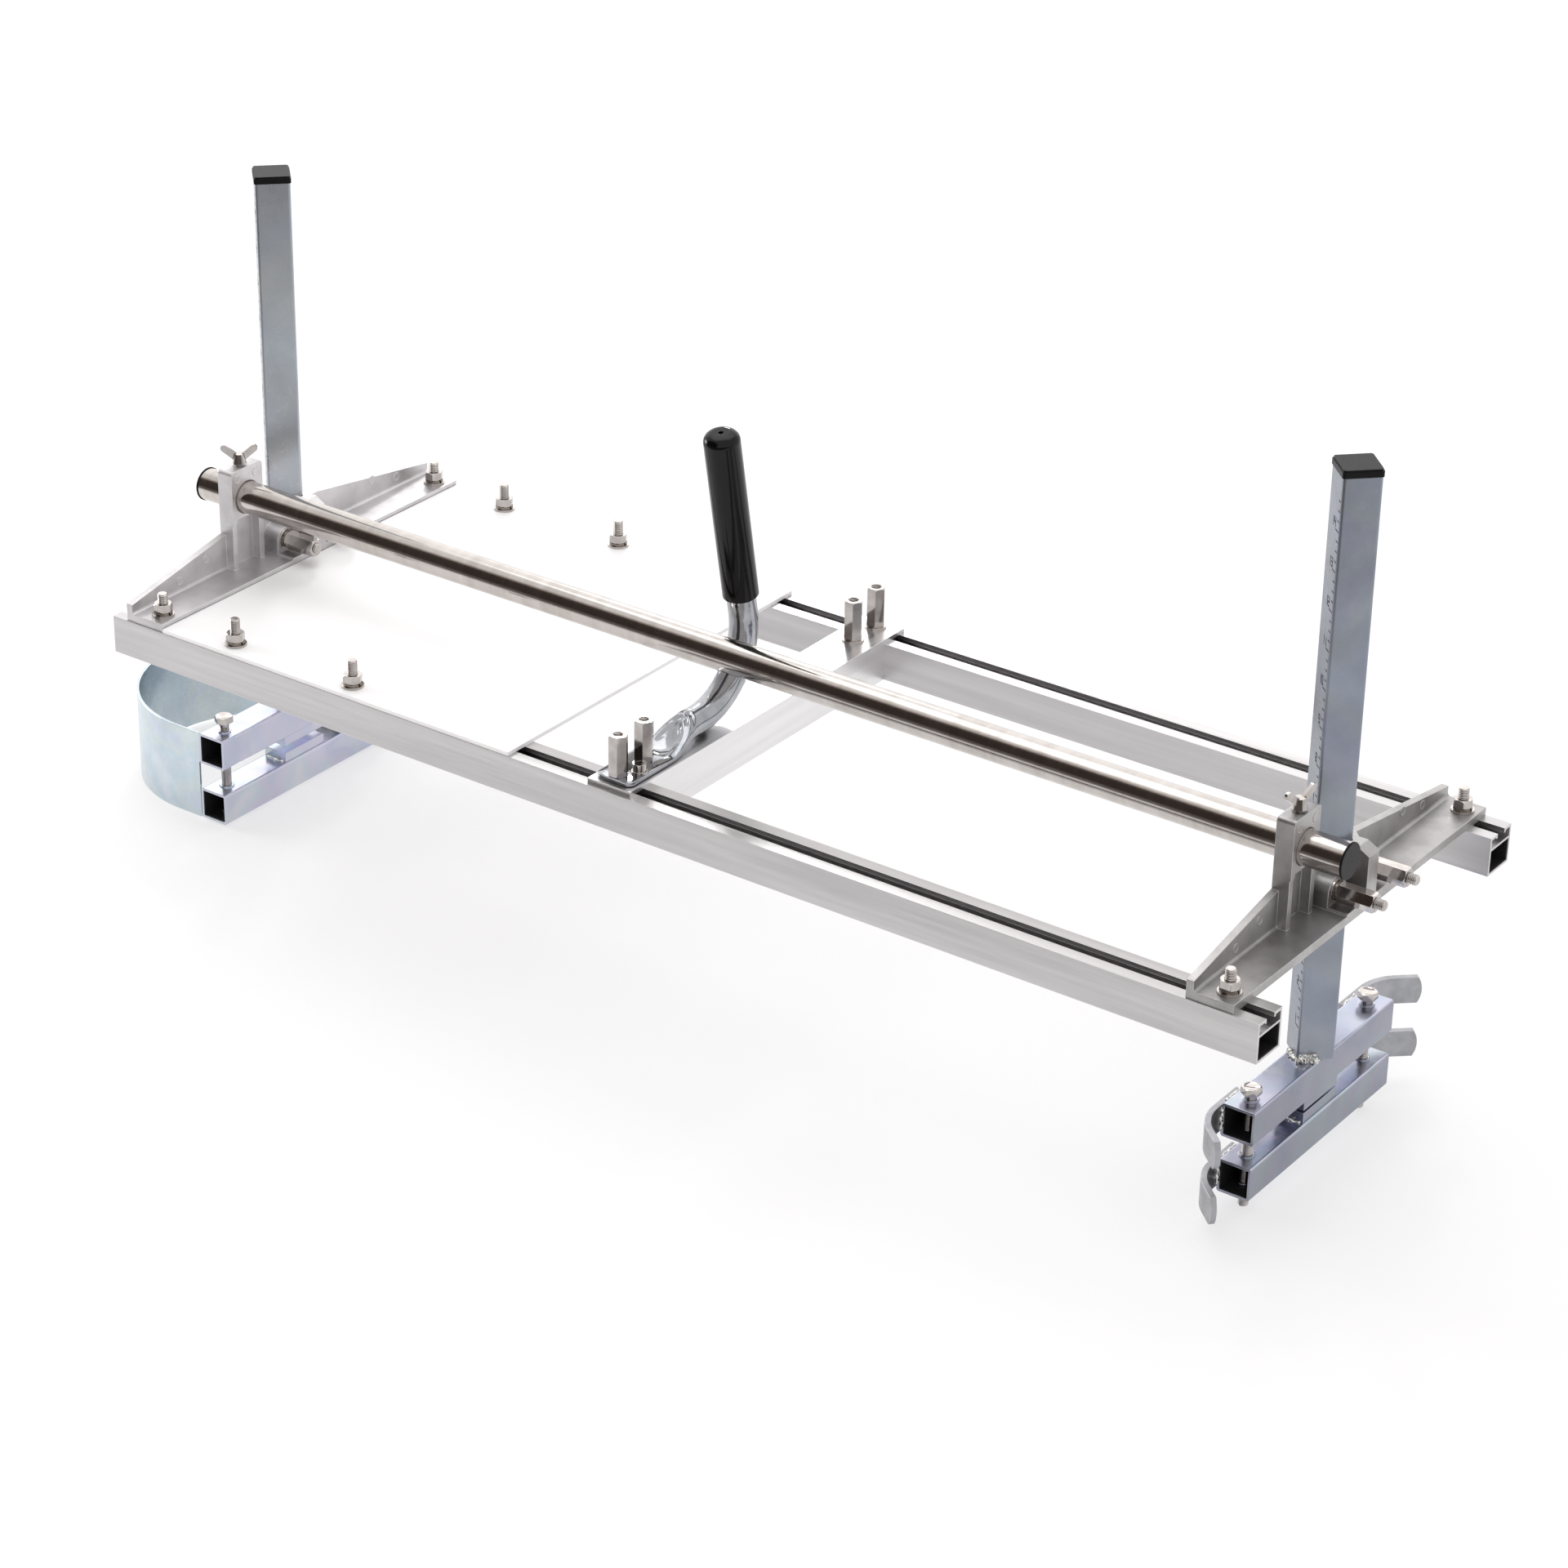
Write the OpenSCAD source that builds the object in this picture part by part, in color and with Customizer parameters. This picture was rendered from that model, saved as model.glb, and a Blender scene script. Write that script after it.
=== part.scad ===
// Adjustable frame that guides a chainsaw lengthwise through a log.
// Two slotted rails slide along the log. A post at each end carries the jaws that clamp the
// saw bar, and the height of the posts sets the thickness of the cut.
// Working axes: x along the rails from their left end, y from the near rail's outer face to
// the far rail, z up from the rails' underside. Each node is shifted at the end, so that the
// origin lies on the floor under the middle of the whole bounding box.

/* [Rails] */
// Length of each rail
rail_l = 1010; // [960:10:1100]
// Width over the outer faces of both rails
frame_w = 350; // [346:2:370]
// Side of a rail's square section
rail_s = 30; // [29.5:0.5:32]
// Wall of the extrusion
rail_wall = 1.6; // [1.2:0.1:2]
// Width of the slot's mouth
slot_mouth = 10.4; // [9.6:0.1:11.4]
// Height of the chamber under the slot's lips
slot_h = 7; // [6.8:0.1:8]
// Thickness of the slot's lips
lip_t = 2; // [1.6:0.1:2.4]
// Depth of the small ridge under each lip's edge
lip_ridge = 1.4; // [1:0.1:1.5]

/* [End brackets] */
// Left bracket's outer face, from the rails' left end
bracket_left_x = 14; // [8:1:24]
// Right bracket's outer face, from the rails' right end
bracket_right_in = 56; // [54:1:80]
// Width of the bracket's flange along the rails
flange_w = 36; // [35:1:40]
// Thickness of the flange
flange_t = 6.5; // [5:0.5:8]
// Gap from the rails' outer faces to the bracket's ends
bracket_inset = 1; // [0.5:0.5:5]
// Thickness of the upright web
web_t = 5.5; // [4:0.5:6]
// Height of the web at its two ends, from the rails' top
web_end_h = 14; // [11:1:18]
// Height of the web beside the bar plate and the post seat
web_h = 35; // [30:1:38]
// Distance from the web's outer face to the flange bolts
bolt_in = 24.5; // [23:0.5:26]
// Thickness of the plate that holds the push bar
plate_t = 14; // [11:0.5:15]
// Width of that plate
plate_w = 35; // [33:1:37]
// Metal above the bar's bore
plate_cap = 12.5; // [10:0.5:15]
// Width of the ribs beside the plate's recess
rib_w = 5; // [4:0.5:6]
// Rise of the plate's head over the faces of its ribs
head_step = 0.8; // [0.4:0.1:1.2]
// Thickness of the wall around the post's V seat
seat_wall = 5.5; // [5:0.5:8]
// Height of the post's V seat
seat_h = 46; // [42:1:50]
// Width of the rib that stiffens the seat
seat_rib_w = 14; // [12:0.5:16]
// Height of the stiffening rib at the flange's edge
seat_rib_h = 41; // [36:1:42]
// Thickness of the raised pad under the studs
pad_rise = 1.5; // [1:0.1:2]
// Length of the round-topped bosses that the nuts of the U-bolt press on
boss_l = 20.5; // [18:0.5:24]
// Radius of the fillets at the web's foot
fillet_r = 2.5; // [1.5:0.5:4]

/* [Posts] */
// Side of the square posts
post_s = 27.2; // [26:0.2:28]
// Side of the square jaw tubes
tube_s = 26; // [25:0.2:26.6]
// Wall of the square tubes
tube_wall = 2; // [1.6:0.1:2.4]
// Outer corner radius of the square tubes
tube_r = 2; // [1.5:0.25:3]
// Length of each post above its upper jaw
post_l = 438; // [400:2:480]
// Post's axis from the near rail's outer face
post_y = 182; // [178:1:186]
// Depth of the left upper jaw's top below the rails' underside
left_drop = 104; // [98:1:106]
// Depth of the right upper jaw's top below the rails' underside
right_drop = 96; // [90:1:130]
// Height of a post cap's rim
cap_h = 5.5; // [4:0.5:8]
// Overhang of a post cap's rim
cap_lip = 0.6; // [0.4:0.1:1]
// Depth of a post cap's plug
cap_plug = 14; // [10:1:20]

/* [Jaws] */
// Length of the jaw tubes
jaw_l = 194; // [184:2:200]
// Open height between the left jaw tubes
left_gap = 22.5; // [20:0.5:23]
// Open height between the right jaw tubes
right_gap = 18.4; // [17.4:0.2:24]
// Thickness of each jaw pad
pad_t = 8; // [7:0.25:8.5]
// Length of each jaw pad
pad_l = 46; // [40:1:60]
// Inset of a jaw pad's sides from the tube's sides
pad_inset = 2; // [1:0.5:4]
// Distance of each jaw bolt from the post's axis
jaw_bolt_dy = 81; // [74:1:83]
// Length of the left jaw bolts under the head
jaw_bolt_left_l = 85; // [84:1:95]
// Length of the right jaw bolts under the head
jaw_bolt_right_l = 90; // [88:1:100]
// Stand of the right jaw bolts' heads above their jaw
head_stand = 5; // [3:0.5:8]
// Outer diameter of the drawn collars around the jaws' holes
collar_d = 12; // [11:0.5:13]
// Height of the drawn collars
collar_h = 1; // [0.8:0.1:1.5]
// Height of the threaded collars inside the lower jaws
thread_collar_h = 3; // [2:0.5:5]

/* [Nose guard and log dogs] */
// Thickness of the guard's sheet
guard_t = 2; // [1.5:0.25:3]
// Height of the guard
guard_h = 75; // [68:1:80]
// Straight length of the guard before its half round
guard_straight = 25; // [10:1:30]
// Gap that lets the lower jaw pass the guard's edges
guard_relief = 1; // [0.5:0.1:2]
// Thickness of the log dogs
dog_t = 4.5; // [4:0.25:5]
// Height of the log dogs
dog_h = 21; // [18:1:22]
// Depth of a dog's upper edge below the jaw's top
dog_drop = 1.5; // [1:0.25:2.5]
// Length of a dog that is welded along the jaw tube
dog_weld_l = 26; // [18:1:36]
// Straight run of a dog past the tube's end
dog_straight = 5; // [2:1:8]
// Inner radius of a dog's bend
dog_bend_r = 35; // [30:1:38]
// Angle of a dog's bend
dog_bend_a = 48; // [40:1:52]
// Length of a dog's flat tip
dog_tip_l = 19; // [14:1:20]
// Radius of a dog's rounded tip
dog_tip_r = 20; // [14:1:30]

/* [Push bar] */
// Outer diameter of the push bar
bar_d = 25.4; // [24:0.2:26.6]
// Wall of the push bar
bar_wall = 1.5; // [1.2:0.1:2]
// Push bar's reach past the rails' left end
bar_left = 14; // [10:1:40]
// Distance from the push bar's right end to the rails' right end
bar_right_in = 8; // [0:1:12]
// Push bar's axis from the near rail's outer face
bar_y = 125; // [123:1:127]
// Push bar's axis above the rails' top
bar_z = 63.5; // [62:0.5:66]
// Overhang of the bar caps' rim
bar_cap_lip = 0.6; // [0.4:0.1:1]
// Thickness of the bar caps' rim
bar_cap_t = 1.5; // [1:0.1:2.5]
// Depth of the bar caps' plug
bar_cap_plug = 12; // [8:1:20]

/* [Deck plate] */
// Thickness of the deck plate
deck_t = 3; // [2:0.5:4]
// Gap between the left bracket and the deck plate
deck_gap = 0.5; // [0.3:0.1:3]
// Right edge of the deck plate, from the rails' left end
deck_end = 387; // [340:1:420]
// Inset of the deck plate from the rails' outer faces
deck_inset = 0.5; // [0.5:0.5:4]
// First pair of deck bolts, from the rails' left end
deck_bolt_1 = 112; // [90:1:140]
// Second pair of deck bolts
deck_bolt_2 = 228; // [190:1:280]

/* [Cross member and handle] */
// Middle of the cross member, from the rails' left end
cross_x = 476; // [450:1:478]
// Width of the cross member
cross_w = 38; // [36:1:42]
// Thickness of the cross member's walls
cross_t = 3.5; // [3:0.25:4]
// Inset of the cross member's ends from the rails' outer faces
cross_inset = 4; // [2:1:6]
// Distance between the two long nuts of a pair
nut_pair = 30; // [28:1:34]
// Outer diameter of the handle tube
handle_d = 22; // [21:0.5:23]
// Wall of the handle tube
handle_wall = 2; // [1.5:0.25:2.5]
// Width of the handle's flattened foot
foot_w = 32; // [30:1:34]
// Tip of the foot, from the near rail's outer face
foot_tip = 8; // [6:1:8]
// Corner radius of the foot's tip
foot_r = 6; // [3:1:9]
// End of the foot's flat, from the near rail's outer face
foot_end = 58; // [57:1:61]
// Length over which the flat foot becomes round tube
foot_taper = 42; // [36:1:46]
// Radius of the dished dent in the foot's top
dish_r = 22; // [20:1:26]
// Metal left under the dent
dish_floor = 6; // [5:0.5:8]
// Start of the handle's bend, from the near rail's outer face
bend_start = 109; // [108:1:114]
// Centre-line radius of the handle's bend
bend_r = 55; // [50:1:60]
// Lean of the grip past upright, towards the near rail
grip_lean = 11; // [5:1:15]
// Bare tube between the bend and the grip
grip_gap = 16; // [10:1:24]
// Length of the grip
grip_l = 137; // [115:1:145]
// Outer diameter of the grip
grip_d = 27; // [26:0.5:30]
// Thickness of the grip's closed end
grip_end_t = 6; // [5:0.5:8]
// Rounding of the grip's closed end
grip_round = 7; // [3:0.5:10]
// Diameter of the vent hole in the grip's closed end
vent_d = 4; // [3:0.5:5]

/* [Fasteners] */
// Thread diameter of the bolts, studs and U-bolts
bolt_d = 8; // [7.8:0.1:8.2]
// Width over flats of their heads and nuts
bolt_af = 13; // [12.8:0.1:13.4]
// Height of the slot bolts' heads
slot_head_h = 5; // [4.6:0.1:5.1]
// Length of the slot bolts under the head
slot_bolt_l = 28; // [26:1:32]
// Height of the plain bolts' heads
head_h = 5.3; // [5:0.1:5.6]
// Height of the plain nuts
nut_h = 6.5; // [6:0.1:6.8]
// Diameter of the flat washers
washer_d = 17; // [16:0.5:18]
// Thickness of the flat washers
washer_t = 1.6; // [1.2:0.1:2]
// Diameter of the spring washers
spring_d = 14; // [13:0.5:14.5]
// Thickness of the spring washers
spring_t = 2; // [1.6:0.1:2.4]
// Width of the gap in a spring washer
spring_split = 1.2; // [0.8:0.1:2]
// Length of the long nuts on the U-bolts
clamp_nut_l = 28; // [24:1:32]
// Length of the long nuts on the cross member
cross_nut_l = 32; // [28:1:36]
// Bare stud past the nuts of the left U-bolt
stud_end_left = 2; // [1:0.5:6]
// Bare stud past the nuts of the right U-bolt
stud_end_right = 7; // [1:0.5:9]
// Height of the U-bolts' studs above the rails' top
stud_z = 18; // [17:0.5:21]
// Thread diameter of the wing screws
wing_d = 6; // [5.8:0.1:6.2]
// Hub diameter of the wing screws
wing_hub_d = 11; // [10:0.5:12]
// Hub height of the wing screws
wing_hub_h = 8; // [7:0.5:10]
// Length of each wing
wing_l = 15; // [12:0.5:17]
// Width of each wing
wing_w = 5.5; // [4.5:0.5:7]
// Thickness of each wing
wing_t = 2.5; // [2:0.25:3]
// Rise of the wings from level
wing_rise = 40; // [30:5:50]
// Turn of the left wing screw
wing_turn_left = 40; // [0:5:180]
// Turn of the right wing screw
wing_turn_right = 75; // [0:5:180]
// Thread diameter of the socket-head screw in the handle's foot
cap_screw_d = 6; // [5:0.5:6]
// Head diameter of that screw
cap_head_d = 10; // [9.5:0.5:10.5]
// Head height of that screw
cap_head_h = 6; // [5:0.5:7]
// Width over flats of that screw's socket
socket_af = 5; // [4:0.5:5.5]
// Distance of that screw from the middle of the cross member
cap_screw_x = 10; // [9:0.5:11]
// Distance of that screw from the near rail's outer face
cap_screw_y = 27; // [26:0.5:29]

/* [Fits] */
// Radial play of a shaft that turns or slides in its bore
run_fit = 0.08; // [0.04:0.01:0.1]
// Radial play of a thread, a plug or a grip that stays put
seat_fit = 0.05; // [0.03:0.01:0.1]
// Play between the post and the faces that guide it
seat_play = 0.1; // [0.05:0.05:0.2]
// Extra diameter of the bolt holes
hole_play = 1; // [0.6:0.1:1.2]
// Gap of a wing screw's tip above the push bar
tip_gap = 0.2; // [0.1:0.1:0.5]

/* [Hidden] */
$fn = 48;

// A hexagon's width over corners for a width over flats of one
hex_k = 2 / sqrt(3);
// Overlap that lets a cutter pass a face
cut = 1;

// Rails
slot_y = rail_s / 2;
far_slot_y = frame_w - slot_y;
chamber_z = rail_s - lip_t - slot_h;
slot_seat_z = rail_s - lip_t - lip_ridge;

// Stack of washers under a nut
stack_t = washer_t + spring_t;

// Brackets, with x from the web's outer face and z from the rails' top
bracket_right_x = rail_l - bracket_right_in;
plate_y = bar_y - plate_w / 2;
plate_top = bar_z + bar_d / 2 + plate_cap;
bore_r = bar_d / 2 + run_fit;
seat_half = post_s / sqrt(2);
seat_block = (post_s + 2 * seat_wall) / sqrt(2);
leg_r = bolt_d / 2;
corner_reach = seat_half - tube_r * (sqrt(2) - 1);
// inner radius of the U-bolt's bend, rounded to hundredths
u_in_r = round(100 * (corner_reach + seat_play)) / 100;
leg_y = u_in_r + leg_r;
boss_r = washer_d / 2 + 1;
pad_half = leg_y + boss_r;
nut_x = boss_l + stack_t;

// Heights of the tops of the four jaw tubes
top_ul = -left_drop;
top_ll = top_ul - tube_s - left_gap;
top_ur = -right_drop;
top_lr = top_ur - tube_s - right_gap;
floor_z = top_ur + head_stand - jaw_bolt_right_l;

// Cross member and handle
cross_top = rail_s + cross_t;
foot_t = 2 * handle_wall;
foot_top = cross_top + foot_t;
tube_z = cross_top + handle_d / 2;
bend_a = 90 + grip_lean;
bend_end = [bend_start + bend_r * sin(bend_a), tube_z + bend_r * (1 - cos(bend_a))];
near_nuts = [slot_y, slot_y + nut_pair];
far_nuts = [frame_w - slot_y - nut_pair, frame_w - slot_y];

// Bounding box along the rails, and the shift that brings its middle over the origin
guard_r = jaw_l / 2;
x_min = min(-bar_left, bracket_left_x - tube_s / 2 - guard_straight - guard_r);
x_max = max(rail_l, bracket_right_x + nut_x + clamp_nut_l + stud_end_right);
shift = [-(x_min + x_max) / 2, -frame_w / 2, -floor_z];

steel = [0.72, 0.76, 0.80];
zinc = [0.62, 0.67, 0.71];
bright = [0.80, 0.77, 0.72];
alu = [0.80, 0.80, 0.80];
cast = [0.66, 0.66, 0.66];
sheet = [0.93, 0.93, 0.93];
black = [0.08, 0.08, 0.09];

module placed() { translate(shift) children(); }

// Fasteners stand on z = 0 and point up

module turned_hex(af, h) {
    edge = af * (hex_k - 1) / 2;
    intersection() {
        cylinder(h = h, d = af * hex_k, $fn = 6);
        union() {
            cylinder(h = h - edge, d = af * hex_k);
            translate([0, 0, h - edge]) cylinder(h = edge, d1 = af * hex_k, d2 = af);
        }
    }
}

module nut(h, play) {
    edge = bolt_af * (hex_k - 1) / 2;
    difference() {
        turned_hex(bolt_af, h);
        // the lower corners are turned off too
        difference() {
            translate([0, 0, -cut]) cylinder(h = edge + cut, d = 2 * bolt_af);
            cylinder(h = edge, d1 = bolt_af, d2 = bolt_af * hex_k);
            translate([0, 0, -2 * cut]) cylinder(h = 2 * cut, d = bolt_af);
        }
        translate([0, 0, -cut]) cylinder(h = h + 2 * cut, r = bolt_d / 2 + play);
    }
}

// The head hangs under z = 0 and the shank points up
module bolt(l, head) {
    point = 1;
    translate([0, 0, -head]) rotate([0, 0, 30]) turned_hex(bolt_af, head);
    translate([0, 0, -cut]) cylinder(h = l - point + cut, d = bolt_d);
    translate([0, 0, l - point]) cylinder(h = point, d1 = bolt_d, d2 = bolt_d - 2 * point);
}

module flat_washer(d = washer_d, hole = bolt_d) {
    difference() {
        cylinder(h = washer_t, d = d);
        translate([0, 0, -cut]) cylinder(h = washer_t + 2 * cut, d = hole + hole_play / 2);
    }
}

module spring_washer() {
    difference() {
        cylinder(h = spring_t, d = spring_d);
        translate([0, 0, -cut]) cylinder(h = spring_t + 2 * cut, d = bolt_d + hole_play / 2);
        // slanted split
        rotate([30, 0, 0]) translate([0, -spring_split / 2, -2 * spring_t])
            cube([spring_d, spring_split, 5 * spring_t]);
    }
}

module slot_bolt() { translate([0, 0, slot_seat_z]) bolt(slot_bolt_l, slot_head_h); }

module at_slots(x) {
    for (y = [slot_y, far_slot_y]) translate([x, y, 0]) children();
}

module at_deck_bolts() {
    for (x = [deck_bolt_1, deck_bolt_2]) at_slots(x) children();
}

module at_left_flange() { at_slots(bracket_left_x + bolt_in) children(); }

module at_right_flange() { at_slots(bracket_right_x + bolt_in) children(); }

module at_cross(ys) {
    for (y = ys) translate([cross_x, y, 0]) children();
}

// Places over the deck plate and over a bracket's flange

module over_deck(up = 0) { at_deck_bolts() translate([0, 0, rail_s + deck_t + up]) children(); }

module over_left_flange(up = 0) {
    at_left_flange() translate([0, 0, rail_s + flange_t + up]) children();
}

module over_right_flange(up = 0) {
    at_right_flange() translate([0, 0, rail_s + flange_t + up]) children();
}

// Rails

module rail_section() {
    difference() {
        square(rail_s);
        // closed box under the slot
        translate([rail_wall, rail_wall])
            square([rail_s - 2 * rail_wall, chamber_z - 2 * rail_wall]);
        // chamber that holds the bolt heads
        translate([rail_wall, chamber_z]) square([rail_s - 2 * rail_wall, slot_h]);
        translate([slot_y - slot_mouth / 2, chamber_z])
            square([slot_mouth, slot_h + lip_t + cut]);
    }
    for (side = [-1, 1])
        translate([slot_y + side * (slot_mouth + rail_wall) / 2 - rail_wall / 2, slot_seat_z])
            square([rail_wall, lip_ridge]);
}

module rail(y) {
    translate([0, y, 0]) rotate([90, 0, 90]) linear_extrude(rail_l) rail_section();
}

// Deck plate

module deck() {
    x0 = bracket_left_x + flange_w + deck_gap;
    difference() {
        translate([x0, deck_inset, rail_s])
            cube([deck_end - x0, frame_w - 2 * deck_inset, deck_t]);
        at_deck_bolts() cylinder(h = 2 * rail_s, d = bolt_d + hole_play);
    }
}

// Cross member: a channel between the rails, open below, whose top also lies on both rails

module cross_channel() {
    x0 = cross_x - cross_w / 2;
    inner_w = cross_w - 2 * cross_t;
    span = frame_w - 2 * rail_s;
    difference() {
        union() {
            translate([x0, cross_inset, rail_s])
                cube([cross_w, frame_w - 2 * cross_inset, cross_t]);
            translate([x0, rail_s, 0]) cube([cross_w, span, rail_s]);
        }
        translate([x0 + cross_t, rail_s - cut, -cut])
            cube([inner_w, span + 2 * cut, rail_s + cut]);
        at_cross(concat(near_nuts, far_nuts)) cylinder(h = 2 * rail_s, d = bolt_d + hole_play);
        // the small screw threads into the top
        translate([cross_x + cap_screw_x, cap_screw_y, 0])
            cylinder(h = 2 * rail_s, d = cap_screw_d + 2 * seat_fit);
    }
}

// Handle: a tube whose end is pressed flat, then bent upright

module tube_ring(d, wall) {
    difference() {
        circle(d = d);
        circle(d = d - 2 * wall);
    }
}

module foot_outline() {
    translate([-foot_w / 2, foot_tip + foot_r]) square([foot_w, foot_end - foot_tip - foot_r]);
    translate([foot_r - foot_w / 2, foot_tip]) square([foot_w - 2 * foot_r, foot_r + cut]);
    for (side = [-1, 1])
        translate([side * (foot_w / 2 - foot_r), foot_tip + foot_r]) circle(r = foot_r);
}

// Flat where it meets the foot, round where the tube begins
module pressed_part() {
    hull() {
        translate([-foot_w / 2, foot_end - cut, cross_top]) cube([foot_w, cut, foot_t]);
        translate([0, foot_end + foot_taper, tube_z]) rotate([90, 0, 0])
            cylinder(h = cut, d = handle_d - 0.4, $fn = 32);
    }
}

// Frame whose z runs up the grip's axis, from a distance past the end of the bend
module on_grip_axis(along) {
    translate([0, bend_end[0], bend_end[1]]) rotate([grip_lean, 0, 0])
        translate([0, 0, along]) children();
}

module handle() {
    tube_y = foot_end + foot_taper;
    difference() {
        union() {
            translate([0, 0, cross_top]) linear_extrude(foot_t) foot_outline();
            pressed_part();
        }
        translate([0, foot_end + foot_taper * 0.36, cross_top + dish_floor + dish_r])
            sphere(r = dish_r);
        for (y = near_nuts)
            translate([0, y, 0]) cylinder(h = 2 * rail_s, d = bolt_d + hole_play);
        translate([cap_screw_x, cap_screw_y, 0])
            cylinder(h = 2 * rail_s, d = cap_screw_d + hole_play);
    }
    // straight tube, bend and upright tube, in a frame whose z is the bend's axis
    translate([0, bend_start, tube_z + bend_r]) rotate([0, 90, 0]) {
        translate([bend_r, 0, 0]) rotate([90, 0, 0])
            linear_extrude(bend_start - tube_y + cut / 2) tube_ring(handle_d, handle_wall);
        rotate_extrude(angle = bend_a, $fn = 96)
            translate([bend_r, 0]) tube_ring(handle_d, handle_wall);
        rotate([0, 0, bend_a]) translate([bend_r, 0, 0]) rotate([-90, 0, 0])
            linear_extrude(grip_gap + grip_l - grip_end_t) tube_ring(handle_d, handle_wall);
    }
}

module grip() {
    r = grip_d / 2;
    difference() {
        rotate_extrude() {
            square([r, grip_l - grip_round]);
            square([r - grip_round, grip_l]);
            translate([r - grip_round, grip_l - grip_round]) intersection() {
                circle(r = grip_round);
                square(grip_round);
            }
        }
        translate([0, 0, -cut])
            cylinder(h = grip_l - grip_end_t + cut, r = handle_d / 2 + seat_fit);
        cylinder(h = grip_l + cut, d = vent_d);
    }
}

module at_cap_screw(z) {
    translate([cross_x + cap_screw_x, cap_screw_y, z]) children();
}

module cap_screw() {
    shank = foot_t + cross_t + washer_t;
    translate([0, 0, -shank]) cylinder(h = shank, d = cap_screw_d);
    difference() {
        cylinder(h = cap_head_h, d = cap_head_d);
        translate([0, 0, cap_head_h / 2]) cylinder(h = cap_head_h, d = socket_af * hex_k, $fn = 6);
    }
}

// End brackets

module web_outline() {
    y0 = bracket_inset;
    y1 = frame_w - bracket_inset;
    polygon([[y0, 0], [y0, web_end_h], [plate_y, web_h], [post_y + pad_half, web_h],
             [y1, web_end_h], [y1, 0]]);
}

// Quarter-round fillet along y, in the corner between the web and the flange
module foot_fillet(y0, y1) {
    translate([web_t, y1, flange_t]) rotate([90, 0, 0]) linear_extrude(y1 - y0)
        difference() {
            square(fillet_r);
            translate([fillet_r, fillet_r]) circle(r = fillet_r);
        }
}

module plate_outline() {
    corner = 3;
    square([plate_w, plate_top - corner]);
    translate([corner, plate_top - 2 * corner]) square([plate_w - 2 * corner, 2 * corner]);
    for (y = [corner, plate_w - corner]) translate([y, plate_top - corner]) circle(r = corner);
}

module bar_plate() {
    recess_top = bar_z - bore_r - 3;
    head_z = bar_z + bar_d / 4;
    difference() {
        translate([0, plate_y, 0]) rotate([90, 0, 90]) linear_extrude(plate_t) plate_outline();
        translate([web_t, plate_y + rib_w, flange_t])
            cube([plate_t, plate_w - 2 * rib_w, recess_top - flange_t]);
        // the ribs' faces lie a little lower than the head's
        translate([plate_t - head_step, plate_y - cut, -cut])
            cube([plate_t, plate_w + 2 * cut, head_z - bar_d + cut]);
    }
}

module stud_boss(side) {
    translate([0, post_y + side * leg_y, 0]) {
        translate([0, -boss_r, 0]) cube([boss_l, 2 * boss_r, stud_z]);
        translate([0, 0, stud_z]) rotate([0, 90, 0]) cylinder(h = boss_l, r = boss_r);
    }
}

// Wall round the post's corner, and the rib that runs from it to the flange's edge
module post_seat() {
    translate([0, post_y, 0]) {
        linear_extrude(seat_h) polygon([[0, -seat_block], [seat_block, 0], [0, seat_block]]);
        translate([0, seat_rib_w / 2, 0]) rotate([90, 0, 0]) linear_extrude(seat_rib_w)
            polygon([[seat_half, 0], [flange_w, 0], [flange_w, seat_rib_h],
                     [seat_block, seat_h], [seat_half, seat_h]]);
        translate([web_t, -pad_half, 0])
            cube([flange_w - web_t, 2 * pad_half, flange_t + pad_rise]);
    }
}

module bracket() {
    v = post_s + 2 * seat_play;
    ease = 1;
    difference() {
        union() {
            translate([0, bracket_inset, 0])
                cube([flange_w, frame_w - 2 * bracket_inset, flange_t]);
            rotate([90, 0, 90]) linear_extrude(web_t) web_outline();
            foot_fillet(bracket_inset, plate_y);
            foot_fillet(post_y + pad_half, frame_w - bracket_inset);
            bar_plate();
            post_seat();
            for (side = [-1, 1]) stud_boss(side);
        }
        // V seat for the post's corner
        translate([0, post_y, -cut]) rotate([0, 0, 45])
            translate([-v / 2, -v / 2, 0]) cube([v, v, seat_h + 2 * cut]);
        // bore of the push bar, eased at both mouths
        translate([0, bar_y, bar_z]) rotate([0, 90, 0]) {
            translate([0, 0, -cut]) cylinder(h = plate_t + 2 * cut, r = bore_r);
            translate([0, 0, -cut])
                cylinder(h = ease + cut, r1 = bore_r + ease + cut, r2 = bore_r);
            translate([0, 0, plate_t - ease])
                cylinder(h = ease + cut, r1 = bore_r, r2 = bore_r + ease + cut);
        }
        // wing screw's hole, from the plate's top into the bore
        translate([plate_t / 2, bar_y, bar_z])
            cylinder(h = plate_top - bar_z + cut, r = wing_d / 2 + run_fit);
        for (side = [-1, 1])
            translate([-cut, post_y + side * leg_y, stud_z]) rotate([0, 90, 0])
                cylinder(h = flange_w, d = bolt_d + hole_play / 2);
        for (y = [slot_y, far_slot_y])
            translate([bolt_in, y, -cut])
                cylinder(h = flange_t + 2 * cut, d = bolt_d + hole_play);
    }
}

module on_left_bracket() { placed() translate([bracket_left_x, 0, rail_s]) children(); }

module on_right_bracket() { placed() translate([bracket_right_x, 0, rail_s]) children(); }

// Frame whose z runs out along one stud of the U-bolt
module on_stud(side, along) {
    translate([along, post_y + side * leg_y, stud_z]) rotate([0, 90, 0]) children();
}

module on_studs(along) {
    for (side = [-1, 1]) on_stud(side, along) children();
}

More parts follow.
